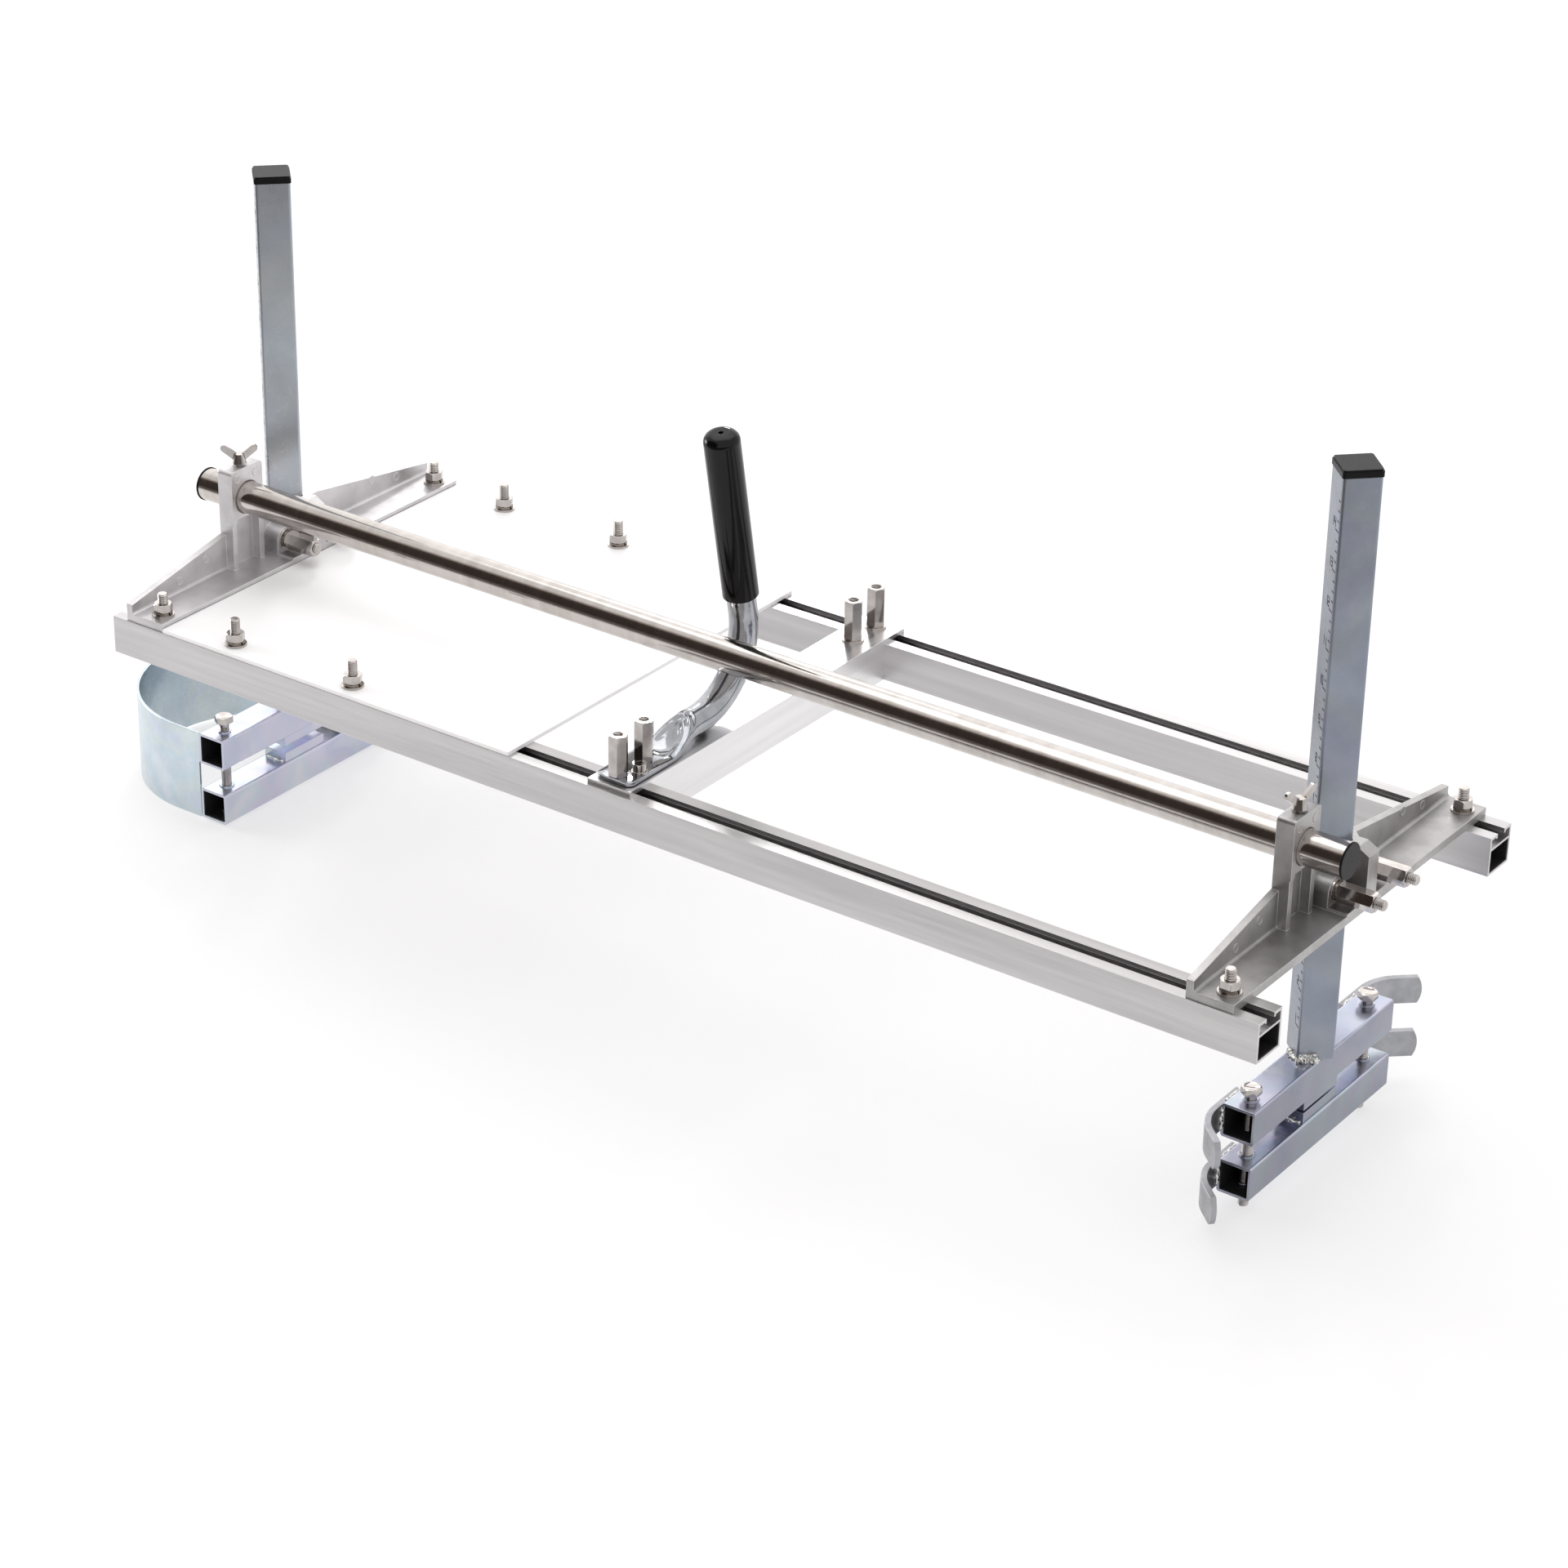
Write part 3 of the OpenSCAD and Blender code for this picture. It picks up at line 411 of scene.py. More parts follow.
# Steel tube dipped in vinyl: gloss black with a slight orange peel
DIPPED_VINYL = finish(
    "dipped_vinyl_grip",
    "#0C0C0E",
    "#070708",
    (0.05, 0.1),
    metallic=0.0,
    patch_mm=30,
    grain_mm=3,
    relief_mm=0.02,
    edge_mm=0.6,
    shine=0.25,
)
# Ground and polished stainless tube: mirror-like, with polishing lines round the tube
POLISHED_STAINLESS = finish(
    "polished_stainless_tube",
    "#CDC8C4",
    "#BCB6B1",
    (0.1, 0.18),
    patch_mm=14,
    grain_mm=1.2,
    relief_mm=0.004,
    stretch=(1, 0.1, 0.1),
    edge_mm=0.3,
)
# Injection-moulded plastic plug: satin black with a fine spark-eroded grain
MOULDED_CAP = finish(
    "moulded_black_plug",
    "#121113",
    "#0C0B0D",
    (0.28, 0.4),
    metallic=0.0,
    patch_mm=12,
    grain_mm=0.9,
    relief_mm=0.03,
    edge_mm=0.6,
    edge="#1B1A1D",
    shine=0.16,
)
# Bright zinc plating on drawn square tube: smooth blue-grey with faint clouds of colour. A lit
# copy for the left post and a darker copy for the right one, as painted shade
LIT_POST, SHADED_POST = (
    finish(
        name,
        pale,
        dark,
        (0.26, 0.32),
        patch_mm=40,
        grain_mm=6.0,
        relief_mm=0.0015,
        edge_mm=1.0,
        edge="#D0D5DC",
        tints=tints,
        tint_mm=90,
        detail=1.5,
    )
    for name, pale, dark, tints in (
        ("lit_zinc_post", "#B9BDC3", "#ADB1B7", ("#FFFFFF", "#F2F8FC", "#FBFDF8", "#F8F8FF")),
        ("shaded_zinc_post", "#969BA4", "#898E97", ("#FFFFFF", "#F2F6FF", "#FCFDFA", "#F6F4FF")),
    )
)
# The same plating on the jaws, passivated: clouds of lavender and sky blue, with painted shade
# that greys the standing sides; a lit copy for the left jaws and a more shaded copy for the right
LIT_JAW, SHADED_JAW = (
    finish(
        name,
        pale,
        dark,
        (0.2, 0.27),
        patch_mm=45,
        grain_mm=6.0,
        relief_mm=0.004,
        edge_mm=0.8,
        edge="#E4E8F2",
        tints=("#FAFBFF", "#ECF0FF", "#FAF3FF", "#EFFAFC", "#FFFFFF"),
        tint_mm=45,
        detail=1.0,
        standing_shade=standing_shade,
    )
    for name, pale, dark, standing_shade in (
        ("lit_zinc_clamp", "#E6E8F1", "#DADDE8", 0.78),
        ("shaded_zinc_clamp", "#CCD0DA", "#BEC2CC", 0.52),
    )
)
# The same plating on rolled sheet: pale and greenish blue outside, and darkened inside the bend
# by painted shade
ZINC_GUARD = finish(
    "zinc_plated_sheet",
    "#D3DBE1",
    "#C4CDD6",
    (0.2, 0.28),
    patch_mm=30,
    grain_mm=5.0,
    relief_mm=0.006,
    edge_mm=0.6,
    edge="#E2EBF0",
    tints=("#FFFFFF", "#EDF8FC", "#F9FCF5", "#F2F5FF"),
    tint_mm=45,
    hollow_shade_mm=130.0,
)
# The same plating over flame-cut plate: duller and grey
ZINC_DOG = finish(
    "zinc_plated_plate",
    "#ABACB0",
    "#96979B",
    (0.32, 0.44),
    patch_mm=14,
    grain_mm=1.6,
    relief_mm=0.04,
    edge_mm=0.8,
    edge="#DADBDF",
)
# Plated weld metal: bright, ropy and uneven
WELD_METAL = finish(
    "plated_weld_metal",
    "#E2E2DC",
    "#BDBEBD",
    (0.14, 0.28),
    patch_mm=4,
    grain_mm=1.6,
    relief_mm=0.12,
    edge_mm=0.3,
)
# Rolled-on marking ink, thin and matt
MARKING_INK = finish(
    "marking_ink",
    "#1B1D21",
    "#111316",
    (0.5, 0.7),
    metallic=0.0,
    patch_mm=3,
    grain_mm=0.6,
    relief_mm=0.005,
    edge_mm=0.05,
)
# Painted shade for the dark of a tube's inside: dull black, with nothing to shine
TUBE_SHADE_LINING = finish(
    "painted_tube_shade",
    "#1C1C1E",
    "#101012",
    (0.5, 0.7),
    metallic=0.0,
    patch_mm=12,
    grain_mm=1.5,
    relief_mm=0.02,
    edge_mm=0.1,
)

FINISHES = {
    ANODISED_RAIL: ("rail_near", "rail_far"),
    LACQUERED_DECK: ("deck_plate",),
    LIT_ANODISED_CROSS: ("cross_member",),
    LIT_CASTING: ("bracket_left",),
    SHADED_CASTING: ("bracket_right",),
    NICKEL_FASTENER: (
        "frame_slot_bolts",
        "frame_washers",
        "frame_nuts",
        "cross_plain_bolts",
        "cross_long_nuts",
        "handle_screw",
        "handle_screw_washer",
        "u_bolt_left",
        "u_bolt_washers_left",
        "bracket_slot_bolts",
        "bracket_washers",
        "bracket_nuts",
        "u_bolt_right",
        "u_bolt_washers_right",
        "clamp_nut_left_near",
        "clamp_nut_left_far",
        "clamp_nut_right_near",
        "clamp_nut_right_far",
        "wing_screw_left",
        "wing_screw_right",
        "jaw_bolt_left_near",
        "jaw_bolt_left_far",
        "jaw_bolt_right_near",
        "jaw_bolt_right_far",
    ),
    SHADED_SPRING_STEEL: (
        "frame_spring_washers",
        "u_bolt_springs_left",
        "bracket_spring_washers",
        "u_bolt_springs_right",
    ),
    CHROMED_TUBE: ("handle_tube",),
    DIPPED_VINYL: ("handle_grip",),
    POLISHED_STAINLESS: ("push_bar",),
    MOULDED_CAP: ("push_bar_caps", "post_cap_left", "post_cap_right"),
    LIT_POST: ("post_left",),
    SHADED_POST: ("post_right",),
    LIT_JAW: ("upper_jaw_left", "lower_jaw_left", "upper_pad_left", "lower_pad_left"),
    SHADED_JAW: ("upper_jaw_right", "lower_jaw_right", "upper_pad_right", "lower_pad_right"),
    ZINC_GUARD: ("nose_guard",),
    ZINC_DOG: ("dog_upper_near", "dog_upper_far", "dog_lower_near", "dog_lower_far"),
}
for material, names in FINISHES.items():
    for name in names:
        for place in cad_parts[name].material_slots:
            place.material = material

SMOOTH_UNDER = math.radians(35)


def piece(name, body, material, shapes):
    """One mesh of several closed shapes, given in the drawing's mm and carried by a body."""
    points, faces, start = [], [], 0
    for shape_points, shape_faces in shapes:
        points.append(shape_points)
        faces += [group + start for group in shape_faces]
        start += len(shape_points)
    mesh = bpy.data.meshes.new(name)
    corners = [corner for group in faces for corner in group.tolist()]
    mesh.from_pydata(((np.vstack(points) + ZERO) * MM).tolist(), [], corners)
    mesh.shade_smooth()
    mesh.set_sharp_from_angle(angle=SMOOTH_UNDER)
    mesh.materials.append(material)
    made = bpy.data.objects.new(name, mesh)
    bpy.context.scene.collection.objects.link(made)
    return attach(made, body)


# Threads, bolts and studs, all M8

PITCH = 1.25
CREST_R = 3.97
ROOT_R = 3.35
TIP_R = ROOT_R - 0.2
RING_STEP = PITCH / 7
ROD_SIDES = 24


def thread_radius(along, angle, crest=CREST_R, root=ROOT_R):
    """Radius of a right-hand thread: a triangle wave of one pitch that climbs one pitch a turn,
    flattened at its crests and roots."""
    wave = (along / PITCH - angle / (2 * math.pi)) % 1.0
    height = np.clip(1.35 * (1 - np.abs(2 * wave - 1)) - 0.15, 0, 1)
    return root + (crest - root) * height


def chamfered(radius, to_end):
    """A radius cut down by a 45 degree cone towards the rod's end."""
    return np.minimum(radius, TIP_R + np.maximum(to_end, 0))


def shank(length, plain, sides=ROD_SIDES):
    """A rod up Z: plain up to a height, then threaded, its rings a seventh of a pitch apart."""
    thread = np.arange(plain, length + 1e-6, RING_STEP)
    along = np.concatenate([[0.0, plain - 0.01], thread])
    z, angle = np.meshgrid(along, around(sides), indexing="ij")
    threaded = chamfered(thread_radius(z, angle), length - z)
    return capped(about_z(np.where(z < plain, CREST_R, threaded), angle, z))


HEX_AF = 13.0
HEX_COLUMNS = 72
SIXTH = math.pi / 3


def hexagon(angle):
    """Distance from the middle to a hexagon's side: half the width across flats, over the
    cosine of the angle from that side's own middle."""
    off = (angle + SIXTH / 2) % SIXTH - SIXTH / 2
    return HEX_AF / 2 / np.cos(off)


def hex_head(height):
    """A bolt's head standing on Z = 0: a hexagon whose radius is cut down by a 30 degree cone
    at the top, with a top face dished 0.25 mm deep inside a flat rim."""
    edge = 1.1
    z = np.concatenate([[0.0, height - edge], height - edge * np.linspace(0.9, 0, 8)])
    z, angle = np.meshgrid(z, around(HEX_COLUMNS), indexing="ij")
    cone = HEX_AF / 2 - 0.35 + (height - z) * math.sqrt(3)
    body = about_z(np.minimum(hexagon(angle), cone), angle, z)
    rim = body[-1:] * [0.86, 0.86, 1]
    dish = body[-1:] * [0.8, 0.8, 1] - [0, 0, 0.25]
    return capped(np.concatenate([body, rim, dish]))


SLOT_SEAT = 26.6
SLOT_BOLT_L = 28.0
SLOT_BOLT_PLAIN = 14.0
SLOT_HEAD_H = 5.0
HEAD_H = 5.3
STUD_TOP = SLOT_SEAT + SLOT_BOLT_L
STUD_PLAIN = 3.0
DECK_BOLT_XS = (112.0, 228.0)
FLANGE_BOLT_IN = 24.5
INNER_NUT_YS = (45.0, 305.0)


def slot_bolt(x, y):
    """Its head lies in the rail's slot and its threaded end stands above the nut."""
    return [
        placed(hex_head(SLOT_HEAD_H), HANGING, (x, y, SLOT_SEAT)),
        placed(shank(SLOT_BOLT_L, SLOT_BOLT_PLAIN), at=(x, y, SLOT_SEAT)),
    ]


def plain_bolt(x, y):
    """Comes up through the cross member from its head under the rails' top."""
    return [
        placed(hex_head(HEAD_H), HANGING, (x, y, RAIL_TOP)),
        placed(shank(STUD_TOP - RAIL_TOP, STUD_PLAIN), at=(x, y, RAIL_TOP)),
    ]


frame_bolt_xs = (*DECK_BOLT_XS, LEFT_X + FLANGE_BOLT_IN, CROSS_X)
frame_bolts = [(x, y) for x in frame_bolt_xs for y in SLOT_YS]
carriage_bolts = [(RIGHT_X + FLANGE_BOLT_IN, y) for y in SLOT_YS]
cross_bolts = [(CROSS_X, y) for y in INNER_NUT_YS]
for name, body, maker, places, node in (
    ("threaded_slot_bolts", "frame", slot_bolt, frame_bolts, "frame_slot_bolts"),
    ("threaded_carriage_bolts", "carriage", slot_bolt, carriage_bolts, "bracket_slot_bolts"),
    ("threaded_cross_bolts", "frame", plain_bolt, cross_bolts, "cross_plain_bolts"),
):
    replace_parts(piece(name, body, NICKEL_FASTENER, several(maker, places)), node)


JAW_BOLT_DY = 81.0
JAW_BOLT_PLAIN = 4.0
JAW_BOLT_SIDES = 20
JAW_BOLT_L = {"left": 85.0, "right": 90.0}


def jaw_bolt(x, y, length):
    """Threaded nearly to its head, and hanging from it with its tip on the table."""
    top = TABLE_Z + length
    return [
        placed(hex_head(HEAD_H), at=(x, y, top)),
        placed(shank(length, JAW_BOLT_PLAIN, JAW_BOLT_SIDES), HANGING, (x, y, top)),
    ]


for end, x, _ in ENDS:
    for side, y in (("near", POST_Y - JAW_BOLT_DY), ("far", POST_Y + JAW_BOLT_DY)):
        node = f"jaw_bolt_{end}_{side}"
        bolt = jaw_bolt(x, y, JAW_BOLT_L[end])
        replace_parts(piece(f"threaded_{node}", node, NICKEL_FASTENER, bolt), node)


LEG_Y = 22.48
LEG_X = {"left": 54.1, "right": 59.1}
LEG_FOOT = 8.0
LEG_THREAD_L = 24.0
U_BOLT_Z = 48.0


def u_bolt(x, leg):
    """A round bar carried along a leg, a half circle and the other leg, in rings square to that
    path; its last 24 mm at each end are threaded."""
    fine = leg - np.arange(0, LEG_THREAD_L + 2, RING_STEP)
    near_x = np.append(fine, LEG_FOOT)
    near = np.stack([near_x, np.full(len(near_x), -LEG_Y)], -1)
    arc = np.linspace(-math.pi / 2, -3 * math.pi / 2, 49)
    bend = LEG_Y * np.stack([np.cos(arc), np.sin(arc)], -1)
    path = np.vstack([near, bend, (near * [1, -1])[::-1]])
    ahead = np.gradient(path, axis=0)
    ahead /= np.linalg.norm(ahead, axis=1, keepdims=True)
    out = np.stack([-ahead[:, 1], ahead[:, 0]], -1)
    rank = np.arange(len(path))
    from_end = (np.minimum(rank, rank[::-1]) * RING_STEP)[:, None]
    hand = np.where(rank < len(path) / 2, 1, -1)[:, None]
    angle = around(ROD_SIDES)
    threaded = chamfered(thread_radius(leg - from_end, angle * hand), from_end)
    radius = np.where(from_end < LEG_THREAD_L, threaded, CREST_R)
    plan = path[:, None] + out[:, None] * (radius * np.cos(angle))[..., None]
    grid = np.concatenate([plan, (radius * np.sin(angle))[..., None]], -1)
    return [placed(capped(grid), at=(x, POST_Y, U_BOLT_Z))]


for end, x, body in ENDS:
    made = piece(f"threaded_u_bolt_{end}", body, NICKEL_FASTENER, u_bolt(x, LEG_X[end]))
    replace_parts(made, f"u_bolt_{end}")


NUT_CREST_R = 4.03
NUT_ROOT_R = 3.5
NUT_BORE_R = 4.04
NEAR_NUT_TOP = 68.8
FAR_NUT_TOP = 66.4


def nut_thread(x, y, low, high):
    """The thread cut in a long nut above its bolt: a hoop whose inner face is the wave of
    thread_radius and whose outer face lies in the bore's wall."""
    inner_z, angle = np.meshgrid(
        np.arange(low, high, RING_STEP), around(ROD_SIDES), indexing="ij"
    )
    inner = thread_radius(inner_z, angle, NUT_CREST_R, NUT_ROOT_R)
    radius = np.concatenate([inner, np.full((2, ROD_SIDES), NUT_BORE_R)])
    z = np.concatenate([inner_z, inner_z[-1:], inner_z[:1]])
    hoop = ring(about_z(radius, around(ROD_SIDES), z)[::-1])
    return [placed(hoop, at=(x, y, 0))]


nut_foot = STUD_TOP + 0.2
near_nuts = [(CROSS_X, y, nut_foot, NEAR_NUT_TOP) for y in (SLOT_YS[0], INNER_NUT_YS[0])]
far_nuts = [(CROSS_X, y, nut_foot, FAR_NUT_TOP) for y in (INNER_NUT_YS[1], SLOT_YS[1])]
piece("long_nut_threads", "frame", NICKEL_FASTENER, several(nut_thread, near_nuts + far_nuts))


# Handle

TUBE_R = 11.0
CROSS_TOP = 33.5
FOOT_TIP, FOOT_END, TUBE_START = 8.0, 58.0, 100.0
FOOT_HALF_W, FOOT_HALF_H, FOOT_CORNER = 16.0, 2.0, 6.0
BEND_START, BEND_R, BEND_TURN = 109.0, 55.0, math.radians(101)
UPRIGHT_L = 147.0
DISH_Y, DISH_LONG, DISH_WIDE, DISH_DEEP = 71.0, 14.0, 9.0, 3.0


def smooth(t):
    """The S curve 3t^2 - 2t^3 between 0 and 1."""
    t = np.clip(t, 0, 1)
    return t * t * (3 - 2 * t)


def press_depth(y, across):
    """How deep the press goes in the foot's top. An oval dish is a flat-bottomed bell,
    exp(-0.8 r^4), in the distance r from its middle; ripples round its far end are a cosine of
    r within a bell; and two folds in a V, where the tube begins, are bells in the distance from
    that V. The folds die out towards the tube's sides."""
    reach = np.hypot((y - DISH_Y) / DISH_LONG, across / DISH_WIDE)
    wave = np.cos(2 * math.pi * (reach - 1.15) / 0.42)
    ripple = 0.5 * wave * np.exp(-(((reach - 1.6) / 0.5) ** 2)) * smooth((y - 68) / 8)
    dish = DISH_DEEP * np.exp(-0.8 * reach**4)
    fold = (y - 96) / 13 + np.abs(across) / 8
    crease = 1.7 * np.exp(-((fold / 0.14) ** 2)) + 0.9 * np.exp(-(((fold + 0.6) / 0.14) ** 2))
    return dish - ripple + crease * np.exp(-((across / 6.5) ** 4))


def pressed_handle():
    """A tube carried along Y, round the bend and up into the grip. Each ring is a superellipse
    |x/a|^n + |z/b|^n = 1: wide, thin and square (n = 8) in the pressed foot, and round (n = 2)
    from the taper's end. The press works on the top of the straight part only."""
    corner = FOOT_CORNER * (1 - np.cos(np.linspace(0.08, math.pi / 2, 9)))
    straight = np.concatenate(
        [FOOT_TIP + corner, [30.0, 50.0], np.linspace(FOOT_END - 2, TUBE_START, 56)]
    )
    turn = np.linspace(0, BEND_TURN, 40)
    y = np.concatenate([straight, BEND_START + BEND_R * np.sin(turn)])
    bent = np.arange(len(y)) >= len(straight)
    round_share = np.where(bent, 1, smooth((y - FOOT_END) / (TUBE_START - FOOT_END)))
    tip = np.clip((FOOT_CORNER - (y - FOOT_TIP)) / FOOT_CORNER, 0, 1)
    wide = FOOT_HALF_W + (TUBE_R - FOOT_HALF_W) * round_share
    wide -= FOOT_CORNER * (1 - np.sqrt(1 - tip**2))
    high = FOOT_HALF_H + (TUBE_R - FOOT_HALF_H) * round_share
    lean = np.concatenate([np.zeros(len(straight)), turn])
    z = CROSS_TOP + high + BEND_R * (1 - np.cos(lean))
    y = np.append(y, y[-1] + math.cos(BEND_TURN) * UPRIGHT_L)
    z = np.append(z, z[-1] + math.sin(BEND_TURN) * UPRIGHT_L)
    rings = [np.append(v, v[-1])[:, None] for v in (wide, high, round_share, lean)]
    wide, high, round_share, lean = rings
    angle = around(96)
    power = 0.25 + 0.75 * round_share
    across = wide * np.sign(np.cos(angle)) * np.abs(np.cos(angle)) ** power
    up = high * np.sign(np.sin(angle)) * np.abs(np.sin(angle)) ** power
    top = smooth(np.sin(angle) * 1.6)[None, :]
    pressed = np.maximum(up - press_depth(y[:, None], across) * top, -high * 0.6)
    up = np.where(lean == 0, pressed, up)
    points_y = y[:, None] - np.sin(lean) * up
    points_z = z[:, None] + np.cos(lean) * up
    grid = np.stack([across, points_y, points_z], -1)
    return [placed(capped(grid[:, ::-1]), at=(CROSS_X, 0, 0))]


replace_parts(piece("pressed_bent_handle", "frame", CHROMED_TUBE, pressed_handle()), "handle_tube")


# Painted shade: dark sleeves inside the open tubes

CHAMBER_Z = 21.0
CHAMBER_HALF_W = 13.4
CHAMBER_HALF_H = 8.9
JAW_HALF = 13.0
JAW_WALL = 2.0
JAW_L = 194.0
JAW_TOP = {
    "upper": {"left": -104.0, "right": -96.0},
    "lower": {"left": -152.5, "right": -140.4},
}


def rounded_square(half, corner, steps=5):
    """Points round a square of a half side, with quarter circles of a radius at its corners."""
    arc = np.linspace(0, math.pi / 2, steps)
    quarter = half - corner + corner * np.stack([np.cos(arc), np.sin(arc)], -1)
    turns = [np.array([[c, -s], [s, c]]) for c, s in ((1, 0), (0, 1), (-1, 0), (0, -1))]
    return np.vstack([quarter @ turn.T for turn in turns])


def lining(half_x, half_z, low, high, centre):
    """A thin closed sleeve along Y, lying on the inside of a square tube as painted shade."""
    outside = rounded_square(1.0, 0.06)
    rows = []
    for shrink, y in ((0.05, low), (0.05, high), (0.35, high), (0.35, low)):
        section = outside * [half_x - shrink, half_z - shrink]
        rows.append(np.stack([section[:, 0], np.full(len(section), y), section[:, 1]], -1))
    return placed(ring(np.stack(rows)[:, ::-1]), at=centre)


cell = lining(CHAMBER_HALF_W, CHAMBER_HALF_H, 1.0, RAIL_L - 1, (0, 0, 0))
rail_cells = [placed(cell, ALONG_RAIL, (0, y, CHAMBER_Z / 2)) for y in SLOT_YS]
piece("rail_shade_linings", "frame", TUBE_SHADE_LINING, rail_cells)

bore_half = JAW_HALF - JAW_WALL
bore_end = JAW_L / 2 - 1
for end, x, _ in ENDS:
    for level, body in (("upper", f"post_{end}"), ("lower", f"jaw_{end}")):
        middle = (x, POST_Y, JAW_TOP[level][end] - JAW_HALF)
        sleeve = lining(bore_half, bore_half, -bore_end, bore_end, middle)
        piece(f"{level}_jaw_shade_lining_{end}", body, TUBE_SHADE_LINING, [sleeve])


# Welds

BEAD_STEP = 0.45
BEAD_SIDES = 24
BEAD_FLAT = 0.75


def bead(path, thick, seed):
    """A weld: rings round a path, whose radius swells and shrinks along it in overlapping
    puddles (a sum of sines with set phases) and ends in rounded tips. It lies a quarter lower
    than it is wide."""
    path = np.asarray(path, float)
    steps = np.linalg.norm(np.diff(path, axis=0), axis=1)
    length = np.concatenate([[0], np.cumsum(steps)])
    s = np.linspace(0, length[-1], max(int(length[-1] / BEAD_STEP), 12))
    line = np.stack([np.interp(s, length, path[:, i]) for i in range(3)], -1)
    phase = np.random.default_rng(seed).uniform(0, 2 * math.pi, 8)
    line += 0.35 * np.stack([np.sin(s * 0.7 + phase[i]) for i in (2, 3, 4)], -1)
    angle = around(BEAD_SIDES)
    swell = 1 + 0.22 * np.sin(s * 0.9 + phase[0]) + 0.12 * np.sin(s * 2.3 + phase[1])
    lumps = 1 + 0.1 * np.sin(3 * angle + 1.9 * s[:, None] + phase[5])
    lumps += 0.07 * np.sin(5 * angle - 3.1 * s[:, None] + phase[6])
    ends = np.sqrt(np.clip(1 - (np.abs(s / s[-1] - 0.5) * 2) ** 6, 0, 1))
    radius = (thick * (swell * (0.12 + 0.88 * ends))[:, None] * lumps)[..., None]
    ahead = np.gradient(line, axis=0)
    ahead /= np.linalg.norm(ahead, axis=1, keepdims=True)
    guide = np.where(np.abs(ahead[:, 2:]) > 0.8, [[1.0, 0, 0]], [[0, 0, 1.0]])
    side = np.cross(ahead, guide)
    side /= np.linalg.norm(side, axis=1, keepdims=True)
    over = BEAD_FLAT * np.cross(side, ahead)
    turn_side = side[:, None] * np.cos(angle)[:, None]
    turn_over = over[:, None] * np.sin(angle)[:, None]
    return capped((line[:, None] + radius * (turn_side + turn_over))[:, ::-1])


POST_CORNER = 18.6
POST_FLANK = 12.4
NEAR_BEAD_R = 2.9
FAR_BEAD_R = 2.2


def foot_welds(x, top, seed):
    """Beads in the corners between a post's four faces and the tube's flat top, and two thick
    runs over each other on the near right face, where the post was tacked."""
    shapes = []
    for side in (-1, 1):
        for hand in (-1, 1):
            corner = (x + hand * 1.2, POST_Y + side * POST_CORNER, top + 0.4)
            flank_y = POST_Y + side * (POST_CORNER - 11.2)
            flank = (x + hand * POST_FLANK, flank_y, top + 0.4)
            thick = NEAR_BEAD_R if side < 0 else FAR_BEAD_R
            shapes.append(bead([corner, flank], thick, seed + hand + 2 * side))
    blob = [(x - 0.5, POST_Y - 20.5, top + 1.4), (x + 12.0, POST_Y - 10.5, top + 2.0)]
    ridge = [(x + 0.5, POST_Y - 18.4, top + 4.2), (x + 11.0, POST_Y - 9.4, top + 4.6)]
    return shapes + [bead(blob, 3.9, seed + 9), bead(ridge, 2.6, seed + 11)]


for end, x, seed in (("left", LEFT_X, 20), ("right", RIGHT_X, 40)):
    beads = foot_welds(x, JAW_TOP["upper"][end], seed)
    piece(f"post_foot_welds_{end}", f"post_{end}", WELD_METAL, beads)


PAD_END = 23.6
PAD_HALF_W = 9.0
FILLET_R = 1.7
DOG_H = 21.0
DOG_DOWN = 1.5
DOG_LAP = 26.0


def pad_welds(x, z, seed):
    """Beads at both ends of a pad, where it lies on the jaw tube's face."""
    shapes = []
    for side in (-1, 1):
        y = POST_Y + side * PAD_END
        run = [(x - PAD_HALF_W, y, z), (x + PAD_HALF_W, y, z)]
        shapes.append(bead(run, FILLET_R, seed + side))
    return shapes


def dog_welds(x, top, seed):
    """Beads round the welded end of each log dog, on the jaw tube's outer side and its end."""
    face = x - JAW_HALF
    high = top - DOG_DOWN
    low = high - DOG_H
    shapes = []
    for side in (-1, 1):
        inner = POST_Y + side * (JAW_L / 2 - DOG_LAP)
        outer = POST_Y + side * (JAW_L / 2 + 0.4)
        inner_run = [(face - 0.6, inner, low + 2), (face - 0.6, inner, high - 2)]
        outer_run = [(face + 0.6, outer, low + 1), (face + 0.6, outer, high - 1)]
        top_run = [(face - 0.4, inner, high), (face - 0.4, outer - side * 6, high)]
        shapes.append(bead(inner_run, FILLET_R, seed + side))
        shapes.append(bead(outer_run, 1.6, seed + 5 + side))
        shapes.append(bead(top_run, 1.3, seed + 9 + side))
    return shapes


for end, x, _ in ENDS:
    upper_top, lower_top = JAW_TOP["upper"][end], JAW_TOP["lower"][end]
    upper = pad_welds(x, upper_top - 2 * JAW_HALF - 0.3, 60)
    lower = pad_welds(x, lower_top + 0.3, 64)
    if end == "right":
        upper += dog_welds(x, upper_top, 70)
        lower += dog_welds(x, lower_top, 90)
    piece(f"upper_jaw_welds_{end}", f"post_{end}", WELD_METAL, upper)
    piece(f"lower_jaw_welds_{end}", f"jaw_{end}", WELD_METAL, lower)


# Casting marks

PIN_R = 3.4
TOWER_FACE = 14.0
WEB_FACE = 5.5
TOWER_PINS = ((135.2, 111.4), (114.5, 111.4))
WEB_PINS = ((83.9, 52.5), (54.0, 45.0), (280.1, 52.5), (310.0, 45.0))


